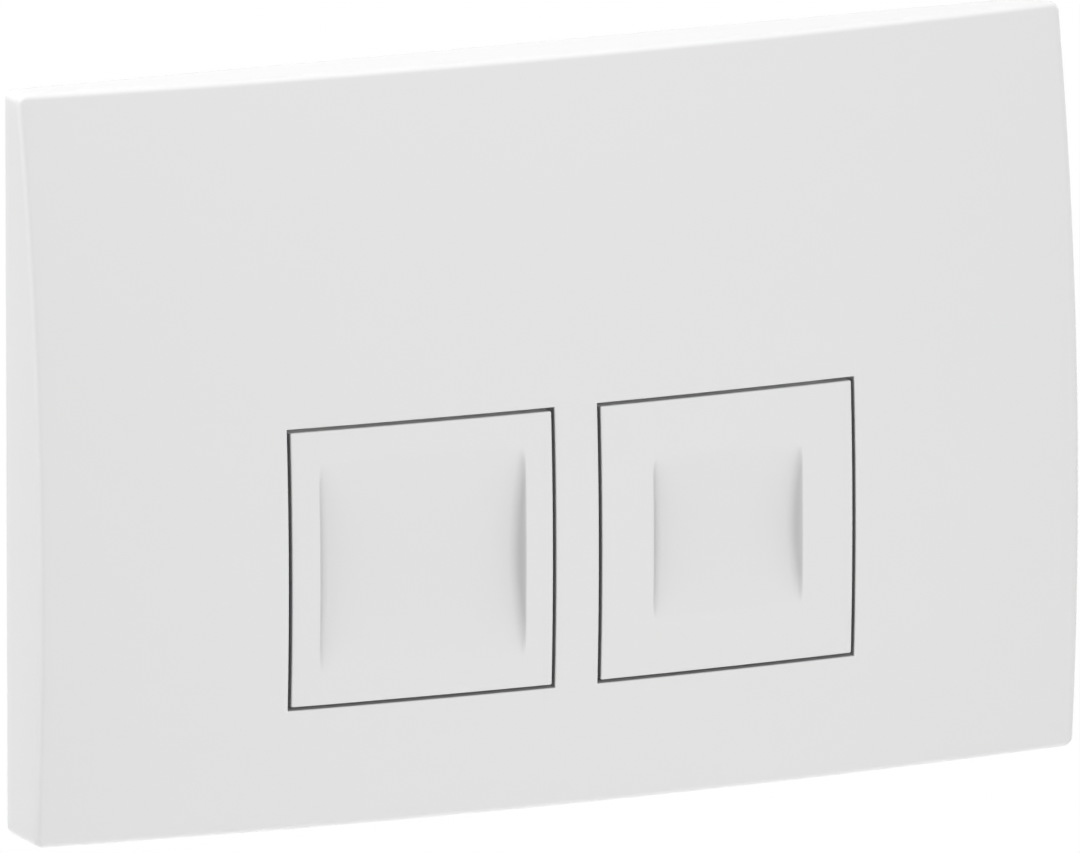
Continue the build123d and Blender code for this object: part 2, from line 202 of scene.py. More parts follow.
# %% [markdown]
# ## Two tools for grids
# A grid needs lines where the shape has edges and even steps between them. A border walks round a grid
# and knows the way out at every point, so that an edge profile can be carried along it, and it turns
# through a fan at each corner, which gives rounded corners without a special case.

# %% Lay out grid lines and walk round a border
LINE_PLACES = 6
LINE_SLACK = 1e-6


def lines(stops, step):
    """Grid lines through every stop, with even steps no longer than step between them."""
    stops = np.unique(np.round(stops, LINE_PLACES))
    counts = np.ceil((stops[1:] - stops[:-1]) / step - LINE_SLACK).astype(int)
    runs = [np.linspace(*run, endpoint=False) for run in zip(stops[:-1], stops[1:], counts)]
    return np.concatenate(runs + [stops[-1:]])


def border(xs, zs, fan):
    """Path round a grid: its points, and at each the way out, which turns in fan steps at a corner."""
    corner = np.linspace(0, np.pi / 2, fan)
    left, right = np.full(len(zs), xs[0]), np.full(len(zs), xs[-1])
    foot, top = np.full(len(xs), zs[0]), np.full(len(xs), zs[-1])
    runs = [(xs, foot), (right, zs), (xs[::-1], top), (left, zs[::-1])]
    path, angles = [], []
    for number, run in enumerate(runs):
        run = np.column_stack(run)
        heading = (number - 1) * np.pi / 2
        path += [run, np.tile(run[-1], (fan, 1))]
        angles += [np.full(len(run), heading), heading + corner]
    angles = np.concatenate(angles)
    return np.concatenate(path), np.column_stack([np.cos(angles), np.sin(angles)])


sample_lines = lines(stops=[0, 3, 10], step=4)
print("grid lines through 0, 3 and 10, no more than 4 apart:", sample_lines)

# %% [markdown]
# ## Shared surface detail
# No real surface is one even colour. Moulded plastic has faint clouds from its flow and a fine grain
# from its tool, and steel has marks from drawing or turning. One node group makes both from noise in
# Object coordinates, and each finish sets its own scales and strengths.

# %% Build the group of clouds and grain
NOISE_DETAIL = {"Cloud": 8.0, "Grain": 2.0}


def clouds_and_grain():
    """Two noises of a place in space, a broad one for colour and gloss and a fine one for relief."""
    group = bpy.data.node_groups.new("clouds_and_grain", "ShaderNodeTree")
    group.interface.new_socket("Vector", in_out="INPUT", socket_type="NodeSocketVector")
    sources = group.nodes.new("NodeGroupInput")
    results = group.nodes.new("NodeGroupOutput")
    for label, detail in NOISE_DETAIL.items():
        group.interface.new_socket(label + " Scale", in_out="INPUT", socket_type="NodeSocketFloat")
        group.interface.new_socket(label, in_out="OUTPUT", socket_type="NodeSocketFloat")
        noise = group.nodes.new("ShaderNodeTexNoise")
        noise.inputs["Detail"].default_value = detail
        group.links.new(sources.outputs["Vector"], noise.inputs["Vector"])
        group.links.new(sources.outputs[label + " Scale"], noise.inputs["Scale"])
        group.links.new(noise.outputs["Fac"], results.inputs[label])
    return group


DETAIL = clouds_and_grain()
detail_outputs = [item for item in DETAIL.interface.items_tree if item.in_out == "OUTPUT"]
print("group outputs:", [socket.name for socket in detail_outputs])

# %% [markdown]
# ## One recipe for the finishes
# A finish mixes two near colours by the clouds, lets the gloss drift with them, and raises the grain
# through a bump. It could be painted by hand for each piece, but a recipe keeps them alike where the
# real materials are alike. A stretched pattern turns the clouds into the lines of drawn or turned metal.
# Deep gaps, the corners of the scoops and the roots of threads get painted shade, darker than the rest.
# How much is stored on a mesh as an attribute, from 0 to 1, so that such a place stays dark in any light.

# %% Write the recipe
SHADE_NAME = "shade"
GAP_SHADE = 0.64


def colour_mix(nodes, blend):
    """A Mix node for colours, given as its sockets by name."""
    node = nodes.new("ShaderNodeMix")
    node.data_type = "RGBA"
    node.blend_type = blend
    return {socket.identifier: socket for socket in (*node.inputs, *node.outputs)}


def finish(
    name, colours, roughness, cloud, grain, relief, stretch=(1, 1, 1), metallic=0.0, shade=GAP_SHADE
):
    """A material: clouds mix two colours and two roughnesses, and the grain lifts the surface by relief.

    Where a mesh stores a painted shade of 1, the colour is multiplied by the finish's own shade.
    """
    material = bpy.data.materials.new(name)
    material.use_nodes = True
    nodes, links = material.node_tree.nodes, material.node_tree.links
    shader = nodes["Principled BSDF"]
    shader.inputs["Metallic"].default_value = metallic
    where = nodes.new("ShaderNodeTexCoord")
    mapping = nodes.new("ShaderNodeMapping")
    mapping.inputs["Scale"].default_value = stretch
    detail = nodes.new("ShaderNodeGroup")
    detail.node_tree = DETAIL
    detail.inputs["Cloud Scale"].default_value = cloud
    detail.inputs["Grain Scale"].default_value = grain
    # The MULTIPLY mix paints shade into the colour wherever the mesh's shade attribute is set.
    tint, dark = colour_mix(nodes, "MIX"), colour_mix(nodes, "MULTIPLY")
    tint["A_Color"].default_value, tint["B_Color"].default_value = [(*colour, 1) for colour in colours]
    dark["B_Color"].default_value = (shade, shade, shade, 1)
    stored = nodes.new("ShaderNodeAttribute")
    stored.attribute_name = SHADE_NAME
    gloss = nodes.new("ShaderNodeMapRange")
    gloss.inputs["To Min"].default_value, gloss.inputs["To Max"].default_value = roughness
    bump = nodes.new("ShaderNodeBump")
    bump.inputs["Distance"].default_value = relief * MM
    links.new(where.outputs["Object"], mapping.inputs["Vector"])
    links.new(mapping.outputs["Vector"], detail.inputs["Vector"])
    links.new(detail.outputs["Cloud"], tint["Factor_Float"])
    links.new(detail.outputs["Cloud"], gloss.inputs["Value"])
    links.new(detail.outputs["Grain"], bump.inputs["Height"])
    links.new(stored.outputs["Fac"], dark["Factor_Float"])
    links.new(tint["Result_Color"], dark["A_Color"])
    links.new(dark["Result_Color"], shader.inputs["Base Color"])
    links.new(gloss.outputs["Result"], shader.inputs["Roughness"])
    links.new(bump.outputs["Normal"], shader.inputs["Normal"])
    return material


print("finishes darken by the attribute", SHADE_NAME)

# %% [markdown]
# The shade could be painted by hand, but the shaded places follow from the shape. Each piece has its
# own formula for them, which reads the places and depths of all its points at once.

# %% Store the shade on a mesh


def mesh_points(mesh):
    """Places and depths of a mesh's points in millimetres, as three arrays."""
    points = np.empty(len(mesh.vertices) * 3)
    mesh.vertices.foreach_get("co", points)
    x, y, z = points.reshape(-1, 3).T / MM
    return x, z, -y


def store_shade(mesh, values):
    """Stores on every point how much painted shade it gets, from 0 to 1."""
    layer = mesh.attributes.new(SHADE_NAME, "FLOAT", "POINT")
    layer.data.foreach_set("value", np.clip(values, 0, 1).astype(np.float32))
    print(f"{mesh.name}: {np.count_nonzero(values > 0)} of {len(values)} points shaded")


def fade(value, start, end):
    """Smooth rise from 0 at start to 1 at end."""
    share = np.clip((value - start) / (end - start), 0, 1)
    return share * share * (3 - 2 * share)


quarters = np.linspace(0, 1, 5)
print("a fade from 0 to 1 in quarters:", fade(quarters, start=0, end=1).round(2))

# %% [markdown]
# ## White moulded plastic
# Cover and buttons are satin white plastic, almost even: only a slow drift between a warmer and a cooler
# white, and the faint ripple of a polished mould in the gloss. Strong noise would look like stone or
# paper, so the clouds are as large as a hand and the two whites lie very close together.

# %% Make the white plastic
WHITE_COLOURS = ((0.785, 0.782, 0.778), (0.778, 0.783, 0.783))
WHITE_GLOSS = (0.28, 0.36)
COVER_WHITE, BUTTON_WHITE = [
    finish(name, WHITE_COLOURS, WHITE_GLOSS, cloud=14, grain=450, relief=0.0015)
    for name in ("cover_white_plastic", "button_white_plastic")
]
print("white finishes:", COVER_WHITE.name, BUTTON_WHITE.name)

# %% [markdown]
# ## The cover
# The cover is one moulding: a crowned front with a soft edge all round, side walls that meet the wall,
# two square windows and, behind them, the collars that the buttons slide in. Boolean cuts could make it,
# but they leave ragged faces on a curved front. Here the front is a grid with lines along the windows,
# the edge is a profile carried round it, and every border is shared, so the shell comes out closed.

# %% Lay out the cover's grid
CORNER_RADIUS = 2.2
COLLAR_WALL = 2.0
HINGE_WALL = 1.2
LIP = 0.35
GRID_STEP = 4.0
PIN_RADIUS = (pin_high[2] - pin_low[2]) / 2
HINGE_DEPTH = -(pin_low[1] + pin_high[1]) / 2
HINGE_Z = (pin_low[2] + pin_high[2]) / 2
WINDOW_SIDE = COLLAR_SIDE - 2 * COLLAR_WALL
COLLAR_BACK = HINGE_DEPTH - PIN_RADIUS - HINGE_WALL
HOLE_HALF = WINDOW_SIDE / 2 + LIP
COLLAR_HALF = COLLAR_SIDE / 2
reach = np.array([plate_high[0], plate_high[2]]) - CORNER_RADIUS
window_stops = np.array([-COLLAR_HALF, -HOLE_HALF, HOLE_HALF, COLLAR_HALF])
cover_xs = lines([-reach[0], reach[0], *(window_stops - BUTTON_X), *(window_stops + BUTTON_X)], GRID_STEP)
cover_zs = lines([-reach[1], reach[1], *(window_stops + BUTTON_Z)], GRID_STEP)
print(f"cover grid {len(cover_xs)} x {len(cover_zs)}")
print(f"window {WINDOW_SIDE:.2f} mm wide, collar back {COLLAR_BACK:.2f} mm from the wall")

# %% [markdown]
# The edge is a rounding that leaves the front smoothly, then the side wall, the rim on the wall and the
# inside. A bevel modifier could round it, but not tangent to a crowned front. A row just above the rim
# holds the side wall flat, because smooth shading would otherwise bend its light all the way up.

# %% Carry the edge round the cover
EDGE_RADIUS = 1.6
EDGE_ROWS = 10
RIM_ROWS = 4
CORNER_FAN = 7
NUDGE = 0.08
SHELL = 2.5
WALL_HOLD = 1.0


def cover_edge():
    """The edge profile carried round the plate: a rounding tangent to front and wall, the wall and the rim.

    The front rises towards the middle, so the rounding starts where its normal is the front's own.
    """
    base, out = border(cover_xs, cover_zs, fan=CORNER_FAN)
    inner = np.clip(base, -reach - CORNER_RADIUS + SHELL, reach + CORNER_RADIUS - SHELL)
    middle = base + (CORNER_RADIUS - EDGE_RADIUS) * out
    rise = front_depth(*(middle - NUDGE * out).T) - front_depth(*(middle + NUDGE * out).T)
    rise = rise / (2 * NUDGE)
    centre = front_depth(*middle.T) - EDGE_RADIUS * np.sqrt(1 + rise**2)
    start = np.arctan2(1, -rise)
    rows = [place(*base.T, front_depth(*base.T))]
    for share in np.linspace(0, 1, EDGE_ROWS):
        angle = start + share * (np.pi - start)
        spot = middle - (EDGE_RADIUS * np.cos(angle))[:, None] * out
        rows.append(place(*spot.T, centre + EDGE_RADIUS * np.sin(angle)))
    rows.append(place(*(base + CORNER_RADIUS * out).T, WALL_HOLD))
    rim = SHELL - CORNER_RADIUS
    quarter = np.linspace(0, np.pi / 2, RIM_ROWS)
    for angle in quarter:
        spot = base + (CORNER_RADIUS - rim * (1 - np.cos(angle))) * out
        rows.append(place(*spot.T, rim * (1 - np.sin(angle))))
    for angle in quarter:
        spot = base + (inner - base) * np.sin(angle)
        rows.append(place(*spot.T, rim * (1 - np.cos(angle))))
    rows.append(place(*inner.T, front_depth(*inner.T, SHELL)))
    return np.stack(rows)


edge_skin = cover_edge()
print("edge rows and points round the plate:", edge_skin.shape[:2])

# %% [markdown]
# The front and the inside are the grid itself, without the cells in the windows. A small lip and the
# collar are carried round each window in the same way as the edge, with close rows where the gap is seen.

# %% Make the cover's front, inside and windows
LIP_ROWS = 5
SQUARE_FAN = 2
GAP_DARK = 0.8
GAP_ROWS = (0.5, GAP_DARK, 1.2, 2.0, 4.0)
TINY = 1e-3


def outside_windows(half):
    """True for the grid's cells outside the two squares of that half side round the button centres."""
    x = (cover_xs[:-1] + cover_xs[1:]) / 2
    z = (cover_zs[:-1] + cover_zs[1:]) / 2
    near_x = np.abs(np.abs(x) - BUTTON_X) < half
    near_z = np.abs(z - BUTTON_Z) < half
    return ~(near_z[:, None] & near_x[None, :])


def window_wall(x):
    """The profile carried round a window: a small lip, the collar's inner wall, its back and outer wall."""
    near_x = cover_xs[np.abs(cover_xs - x) < COLLAR_HALF + TINY]
    near_z = cover_zs[np.abs(cover_zs - BUTTON_Z) < COLLAR_HALF + TINY]
    loop, _ = border(near_x, near_z, fan=SQUARE_FAN)
    centre = np.array([x, BUTTON_Z])
    rows = []
    for angle in np.linspace(0, np.pi / 2, LIP_ROWS):
        half = WINDOW_SIDE / 2 + LIP * (1 - np.sin(angle))
        spot = centre + np.clip(loop - centre, -half, half)
        rows.append(place(*spot.T, front_depth(*spot.T) - LIP * (1 - np.cos(angle))))
    for below in GAP_ROWS:
        rows.append(place(*spot.T, front_depth(*spot.T) - below))
    rows += [place(*spot.T, COLLAR_BACK), place(*loop.T, COLLAR_BACK)]
    rows.append(place(*loop.T, front_depth(*loop.T, SHELL)))
    return np.stack(rows)


grid_x, grid_z = np.meshgrid(cover_xs, cover_zs)
inside_x = np.clip(grid_x, -plate_high[0] + SHELL, plate_high[0] - SHELL)
inside_z = np.clip(grid_z, -plate_high[2] + SHELL, plate_high[2] - SHELL)
cover_skin = [
    (place(grid_x, grid_z, front_depth(grid_x, grid_z)), outside_windows(HOLE_HALF)),
    (place(inside_x, inside_z, front_depth(inside_x, inside_z, SHELL)), outside_windows(COLLAR_HALF)),
    edge_skin,
    *[window_wall(x) for x in SIDE_X.values()],
]
print("cover patches:", len(cover_skin))

# %% [markdown]
# Behind the front, thin ribs stiffen the shell, and four flat hooks reach back and snap behind the
# frame's long edges. Scaled cubes could stand for them, but the ribs follow the curved shell, so the
# corners of a section are carried along a line, each at its own depth. Bars and prisms come out closed,
# with their roots buried in the shell.

# %% Add ribs and snap hooks
BAR_STEPS = 16
COVER_RIB = 1.5
COVER_RIB_HEIGHT = 3.0
HOOK_WIDTH = 12.0
HOOK_THICK = 1.8
HOOK_GAP = 0.3
HOOK_REACH = 1.6
HOOK_TIP = 0.5
HOOK_X = 65.0
BARB_FRONT = 1.7
BARB_STEP = 0.05
RIB_OFFSET = BUTTON_SIDE / 4
_, frame_high = box_mm("mounting_frame")


def bar(start, end, width, low, high, steps=BAR_STEPS):
    """A closed bar between two places: the four corners of its section carried along the line."""
    start, end = np.array(start), np.array(end)
    along = start + np.linspace(0, 1, steps)[:, None] * (end - start)
    run = (end - start) / np.linalg.norm(end - start)
    across = np.array([-run[1], run[0]]) * width / 2
    first, second = along - across, along + across
    lower = [place(*side.T, low(*side.T)) for side in (first, second)]
    upper = [place(*side.T, high(*side.T)) for side in (second, first)]
    skin = np.stack([*lower, *upper, lower[0]], axis=1)
    ends = [np.stack([skin[row, :2], skin[row, 3:1:-1]]) for row in (0, -1)]
    return [skin, *ends]


def prism(section, left, right):
    """A closed prism along x from a grid of depths and heights: its two ends and the wall round them."""
    rim = np.concatenate([section[0], section[:, -1], section[-1, ::-1], section[::-1, 0]])
    wall = np.stack([place(x, rim[:, 1], rim[:, 0]) for x in (left, right)])
    return [wall] + [place(x, section[..., 1], section[..., 0]) for x in (left, right)]


def cover_ribs():
    """Upright ribs above each window and level ribs beside it, from its collar to the plate's edge."""

    def low(x, z):
        """A rib's free edge: the front moved back by the shell and the rib's height."""
        return front_depth(x, z, SHELL + COVER_RIB_HEIGHT)

    def high(x, z):
        """A rib's root: the middle of the shell."""
        return front_depth(x, z, SHELL / 2)

    bars = []
    top = (BUTTON_Z + COLLAR_HALF, plate_high[2] - SHELL / 2)
    side = (BUTTON_X + COLLAR_HALF, plate_high[0] - SHELL / 2)
    for x in SIDE_X.values():
        for offset in (-RIB_OFFSET, RIB_OFFSET):
            bars += bar((x + offset, top[0]), (x + offset, top[1]), COVER_RIB, low, high)
            cross = [(math.copysign(reach_x, x), BUTTON_Z + offset) for reach_x in side]
            bars += bar(*cross, COVER_RIB, low, high)
    return bars


def snap_hook(x, end):
    """A flat beam beside the frame's edge, with a barb whose slope lets it slide past the edge."""
    edge = frame_high[2] + HOOK_GAP
    root = front_depth(x, end * edge, SHELL / 2)
    depths = np.array([HOOK_TIP, BARB_FRONT, BARB_FRONT + BARB_STEP, root])
    inner = edge - np.array([HOOK_GAP, HOOK_REACH, 0, 0])
    outer = np.full(len(depths), edge + HOOK_THICK)
    section = np.stack([np.column_stack([depths, end * line]) for line in (inner, outer)])
    return prism(section, x - HOOK_WIDTH / 2, x + HOOK_WIDTH / 2)


cover_hooks = []
for hook_x in (-HOOK_X, HOOK_X):
    for hook_end in (-1, 1):
        cover_hooks += snap_hook(hook_x, hook_end)
rib_bars = cover_ribs()
print("patches of hooks and ribs:", len(cover_hooks), len(rib_bars))

# %% [markdown]
# Hardly any light gets into the gap round a button. The lamps show that too, but a shade is also stored
# on the inner walls of the windows, so that the gaps stay dark lines in any light.

# %% Shade the windows and finish the cover


def cover_shade(x, z, depth):
    """Painted shade below the lip on the inner walls of the windows."""
    from_centre = np.maximum(np.abs(np.abs(x) - BUTTON_X), np.abs(z - BUTTON_Z))
    on_wall = from_centre < WINDOW_SIDE / 2 + TINY
    return on_wall * fade(front_depth(x, z) - depth, LIP, GAP_DARK)


cover_mesh = grid_mesh("cover_shell", cover_skin + cover_hooks + rib_bars)
# Painted shade in the gaps round the buttons, on the windows' inner walls.
store_shade(cover_mesh, cover_shade(*mesh_points(cover_mesh)))
add_piece("cover_shell", cover_mesh, "cover_plate", COVER_WHITE)

# %% [markdown]
# ## The buttons
# Each button is a square cap that continues the crown of the cover, with a finger scoop: a hollow that
# is an arc from top to bottom, between two sloped side walls that come out of the floor in a fillet and
# end in a crisp edge. The large scoop is for the full flush and the small one for the part flush.
# Carving the hollow with a boolean or a sculpt brush would blur that edge, so the depth is written as
# a formula, and the grid has close lines along the walls.

# %% Give the scoop as a formula
SCOOP = {"full_flush": 48.2, "part_flush": 36.2}
SCOOP_DEPTH = 2.9
SCOOP_SLOPE = math.radians(56)
SCOOP_FILLET = 2.6
SCOOP_EASE = 0.2
EDGE_SEARCH = 2001
WALL_RUN = SCOOP_DEPTH / math.tan(SCOOP_SLOPE) + SCOOP_FILLET * math.tan(SCOOP_SLOPE / 2)


def scoop_floor(z, x, size, grow):
    """How far the scoop's floor lies behind the front at x: a level cylinder less the crowned front.

    The cylinder's circle goes through the front at both ends of the scoop and through its deepest place.
    """
    half = size / 2
    middle = front_depth(x, BUTTON_Z)
    top, foot = (middle - front_depth(x, BUTTON_Z + end * half) for end in (1, -1))
    centre = (2 * SCOOP_DEPTH**2 - 2 * half**2 - top**2 - foot**2) / (4 * SCOOP_DEPTH - 2 * (top + foot))
    aside = (top**2 - foot**2 + 2 * (foot - top) * centre) / (4 * half)
    radius = math.hypot(aside, SCOOP_DEPTH - centre) + grow
    return centre + np.sqrt(radius**2 - (z - BUTTON_Z - aside) ** 2) - middle + front_depth(x, z)


def scoop_depth(u, z, x, size, grow):
    """Depth of the hollow at u beside the button's centre x: its floor, a fillet and the sloped side wall.

    The fillet leaves the floor where its arc, as long as the slope's angle, ends on the wall. All of it
    leans with the front at x. Grown by a thickness, the same shapes give the back of the wall.
    """
    floor = scoop_floor(z, x, size, grow)
    radius = SCOOP_FILLET + grow
    edge = size / 2 + grow / math.sin(SCOOP_SLOPE)
    fillet_end = floor / math.tan(SCOOP_SLOPE) + radius * math.tan(SCOOP_SLOPE / 2)
    past = np.maximum(np.abs(u) - edge + fillet_end, 0)
    on_arc = np.minimum(past, radius * math.sin(SCOOP_SLOPE))
    rise = radius - np.sqrt(radius**2 - on_arc**2) + (past - on_arc) * math.tan(SCOOP_SLOPE)
    lean = -x / math.sqrt(FRONT_RADIUS_WIDE**2 - x**2)
    return front_depth(x, z) - floor + rise + lean * u


def skin_depth(u, z, x, size, inset):
    """Depth of a button's skin: the crowned front, or the scoop where that lies deeper.

    Where the two differ by less than the ease, a parabola lowers the deeper one, which rounds the edge.
    """
    front, hollow = front_depth(x + u, z, inset), scoop_depth(u, z, x, size, inset)
    near = np.maximum(SCOOP_EASE - np.abs(front - hollow), 0)
    return np.minimum(front, hollow) - near**2 / (4 * SCOOP_EASE)


def scoop_edge(x, size):
    """Where the scoop's wall meets the front, from the place at which the two depths cross."""
    u = np.linspace(size / 2 - WALL_RUN / 2, size / 2, EDGE_SEARCH)
    above = scoop_depth(u, BUTTON_Z, x, size, 0) > front_depth(x + u, BUTTON_Z)
    return u[np.argmax(above)]


print(f"scoop wall {WALL_RUN:.2f} wide, edge at {scoop_edge(BUTTON_X, SCOOP['full_flush']):.2f} mm")

# %% [markdown]
# The cap is a thin shell with a skirt that slides in the collar. Its underside is the same skin moved
# back by the wall's thickness, so it bulges back wherever the scoop goes in.

# %% Make the buttons' shells
BUTTON_CAP = 2.0
BUTTON_SKIRT = 1.8
BUTTON_GRID = 1.6
BUTTON_FAN = 4
WALL_GRID = 0.16
SKIRT_BACK = -cap_high[1]


def button_shell(x, size):
    """Front with its scoop, a small lip, the skirt round it, and the underside."""
    half, room = BUTTON_SIDE / 2 - LIP, BUTTON_SIDE / 2 - BUTTON_SKIRT
    edge = scoop_edge(x, size)
    us = lines([-half, -edge, edge, half], BUTTON_GRID)
    wall = lines([edge - WALL_RUN, edge, edge + SCOOP_EASE], WALL_GRID)
    us = np.unique(np.round(np.concatenate([us, wall, -wall]), LINE_PLACES))
    vs = lines([-half, -size / 2, size / 2, half], BUTTON_GRID / 2)
    top = np.stack(np.meshgrid(us, vs), axis=-1)
    base, out = border(us, vs, fan=BUTTON_FAN)
    inner, under = (np.clip(spots, -room, room) for spots in (base, top))

    def beside(spots, depth):
        """Points at spots given from the button's centre."""
        return place(x + spots[..., 0], BUTTON_Z + spots[..., 1], depth)

    def skin(spots, inset):
        """Depth of this button's skin, moved back by an inset, at spots given from its centre."""
        return skin_depth(spots[..., 0], BUTTON_Z + spots[..., 1], x, size, inset)

    rows = []
    for angle in np.linspace(0, np.pi / 2, LIP_ROWS):
        spot = base + LIP * np.sin(angle) * out
        front = front_depth(x + spot[:, 0], BUTTON_Z + spot[:, 1])
        rows.append(beside(spot, front - LIP * (1 - np.cos(angle))))
    rows += [beside(spot, front - below) for below in GAP_ROWS]
    rows += [beside(spot, SKIRT_BACK), beside(inner, SKIRT_BACK), beside(inner, skin(inner, BUTTON_CAP))]
    return [beside(top, skin(top, 0)), np.stack(rows), beside(under, skin(under, BUTTON_CAP))]


button_shells = {side: button_shell(side_x, SCOOP[side]) for side, side_x in SIDE_X.items()}
print("front grids:", {side: shell[0].shape[:2] for side, shell in button_shells.items()})

# %% [markdown]
# Behind the cap are two crossed ribs, a boss that pushes the plunger, two bosses that turn on the hinge
# pin, and a lip at the foot that keeps the button from coming out. They are what shows from behind. They
# are separate closed shapes with their roots buried in the shell, which is simpler than joining them.

# %% Make what is behind the buttons
BUTTON_RIB = 1.5
BUTTON_RIB_HEIGHT = 3.5
RIB_STEPS = 48
BOSS_SIDES = 48
PUSH_BOSS = 4.5
HINGE_BOSS = 3.2
HINGE_BOSS_LENGTH = 5.0
RUNNING_FIT = 0.05
STOP_LIP = 2.0
STOP_LIP_WIDTH = 36.0
BURIED = 0.6
CAP_FOOT = cap_low[2]
head_low, head_high = box_mm("part_flush_plunger")
PUSH_Z = (head_low[2] + head_high[2]) / 2


def turn(profile, sides):
    """A profile of radius and place along its axis, turned once round: two across values and the along."""
    angle = np.linspace(0, 2 * np.pi, sides + 1)
    radius, along = (np.asarray(profile, float).T)[:, :, None]
    return radius * np.cos(angle), along + 0 * angle, radius * np.sin(angle)


def button_inside(x, size):
    """Ribs, push boss, hinge bosses and stop lip, with their roots buried in the shell."""
    room = BUTTON_SIDE / 2 - BUTTON_SKIRT + BURIED
    rib_back = front_depth(x, BUTTON_Z) - SCOOP_DEPTH - BUTTON_CAP - BUTTON_RIB_HEIGHT

    def low(rib_x, rib_z):
        """A rib's free edge: one depth all along."""
        return np.full(len(rib_x), rib_back)

    def high(rib_x, rib_z):
        """A rib's root: buried in the underside."""
        return skin_depth(rib_x - x, rib_z, x, size, BUTTON_CAP) + BURIED

    parts = bar((x - room, PUSH_Z), (x + room, PUSH_Z), BUTTON_RIB, low, high, RIB_STEPS)
    parts += bar((x, BUTTON_Z - room), (x, BUTTON_Z + room), BUTTON_RIB, low, high, RIB_STEPS)
    root = skin_depth(0, PUSH_Z, x, size, BUTTON_CAP)
    boss = [(0, root), (PUSH_BOSS, root), (PUSH_BOSS, SKIRT_BACK + LIP)]
    boss += [(PUSH_BOSS - LIP, SKIRT_BACK), (0, SKIRT_BACK)]
    across, along, up = turn(boss, BOSS_SIDES)
    parts.append(place(x + across, PUSH_Z + up, along))
    bore = PIN_RADIUS + RUNNING_FIT
    for hand in (-1, 1):
        root, tip = x + hand * room, x + hand * (room - BURIED - HINGE_BOSS_LENGTH)
        ring = [(bore, root), (HINGE_BOSS, root), (HINGE_BOSS, tip), (bore, tip), (bore, root)]
        across, along, up = turn(ring, BOSS_SIDES)
        parts.append(place(along, HINGE_Z + up, HINGE_DEPTH + across))
    lip_top = BUTTON_Z - BUTTON_SIDE / 2 + BURIED
    depths = np.array([SKIRT_BACK, SKIRT_BACK + STOP_LIP])
    section = np.stack([np.column_stack([depths, np.full(2, z)]) for z in (CAP_FOOT, lip_top)])
    return parts + prism(section, x - STOP_LIP_WIDTH / 2, x + STOP_LIP_WIDTH / 2)


button_insides = {side: button_inside(side_x, SCOOP[side]) for side, side_x in SIDE_X.items()}
print("patches behind each button:", [len(inside) for inside in button_insides.values()])

# %% [markdown]
# The corners of the scoops hold the only soft shade on the front. The lamps give a part of it, and the
# rest is painted shade stored on the skin, worked out from how much a scoop's side walls hide. The skirts
# get the same painted shade in the gap as the windows round them.

# %% Shade and place the buttons
SCOOP_SHADE = 1.5
SCOOP_REACH = 1.6
FLOOR_SHADE = 0.025
SKIN_NEAR = 0.01


def scoop_shade(u, z, depth, x, size):
    """Painted shade on a scoop's skin: most below its walls, a little on its floor and 0 at the edge.

    A long wall hides half of one less the cosine of the angle that it is seen under. That share grows
    with the root of how far a point has sunk towards the floor, and the floor's own with its depth.
    """
    floor = np.maximum(scoop_floor(z, x, size, 0), TINY)
    edge = scoop_edge(x, size)
    from_walls = [np.maximum(edge + way * u, 0) for way in (-1, 1)]
    hidden = sum((1 - away / np.hypot(away, SCOOP_REACH * floor)) / 2 for away in from_walls)
    below = np.clip(front_depth(x + u, z) - depth, 0, floor)
    dark = SCOOP_SHADE * hidden * np.sqrt(below / floor) + FLOOR_SHADE * below / SCOOP_DEPTH
    on_skin = np.abs(skin_depth(u, z, x, size, 0) - depth) < SKIN_NEAR
    inside = (np.abs(u) < edge) & (np.abs(z - BUTTON_Z) < size / 2)
    return dark * (on_skin & inside)


def skirt_shade(x, z, depth):
    """Painted shade below the lip on the outside of the skirts, within reach of the collars."""
    from_centre = np.maximum(np.abs(np.abs(x) - BUTTON_X), np.abs(z - BUTTON_Z))
    on_wall = np.abs(from_centre - BUTTON_SIDE / 2) < TINY
    return on_wall * fade(front_depth(x, z) - depth, LIP, GAP_DARK) * (depth > COLLAR_BACK)


for side, side_x in SIDE_X.items():
    button_mesh = grid_mesh(side + "_cap", button_shells[side] + button_insides[side])
    x, z, depth = mesh_points(button_mesh)
    # Painted shade in the corners of the scoop and on the skirt in the gap.
    in_scoop = scoop_shade(x - side_x, z, depth, side_x, SCOOP[side])
    store_shade(button_mesh, np.maximum(skirt_shade(x, z, depth), in_scoop))
    add_piece(side + "_cap", button_mesh, side + "_button", BUTTON_WHITE)

# %% [markdown]
# ## Turned pieces
# Hinge pins, plungers, bushes and washers are round. Each is a profile turned about its axis. Real edges
# are never knife sharp, so the profile's corners are eased with a short curve before it is turned, which
# gives every edge its small bright line.

# %% Ease a profile
EASE = 0.3
EASE_MOST = 0.45
EASE_STEPS = 4


def eased(points, radius, closed=False):
    """A profile whose corners are cut back by radius and bridged by a curve tangent to both sides."""
    points = np.array(points, float)
    if closed:
        seam = (points[:1] + points[-1:]) / 2
        points = np.concatenate([seam, points, seam])
    share = np.linspace(0, 1, EASE_STEPS)[:, None]
    path = [points[:1]]
    for before, corner, after in zip(points[:-2], points[1:-1], points[2:]):
        ends = []
        for other in (before, after):
            length = np.linalg.norm(other - corner)
            ends.append(corner + (other - corner) * min(radius / length, EASE_MOST))
        path.append((1 - share) ** 2 * ends[0] + 2 * share * (1 - share) * corner + share**2 * ends[1])
    return np.concatenate(path + [points[-1:]])


sample_corner = [(0, 0), (1, 0), (1, 1)]
print("an eased corner:", eased(sample_corner, EASE).round(2).tolist())

# %% [markdown]
# The hinge pins are drawn steel, and its faint lines are clouds stretched along the pins. The plungers and
# bushes are natural sliding plastic, a little waxy, in two slightly different shades.

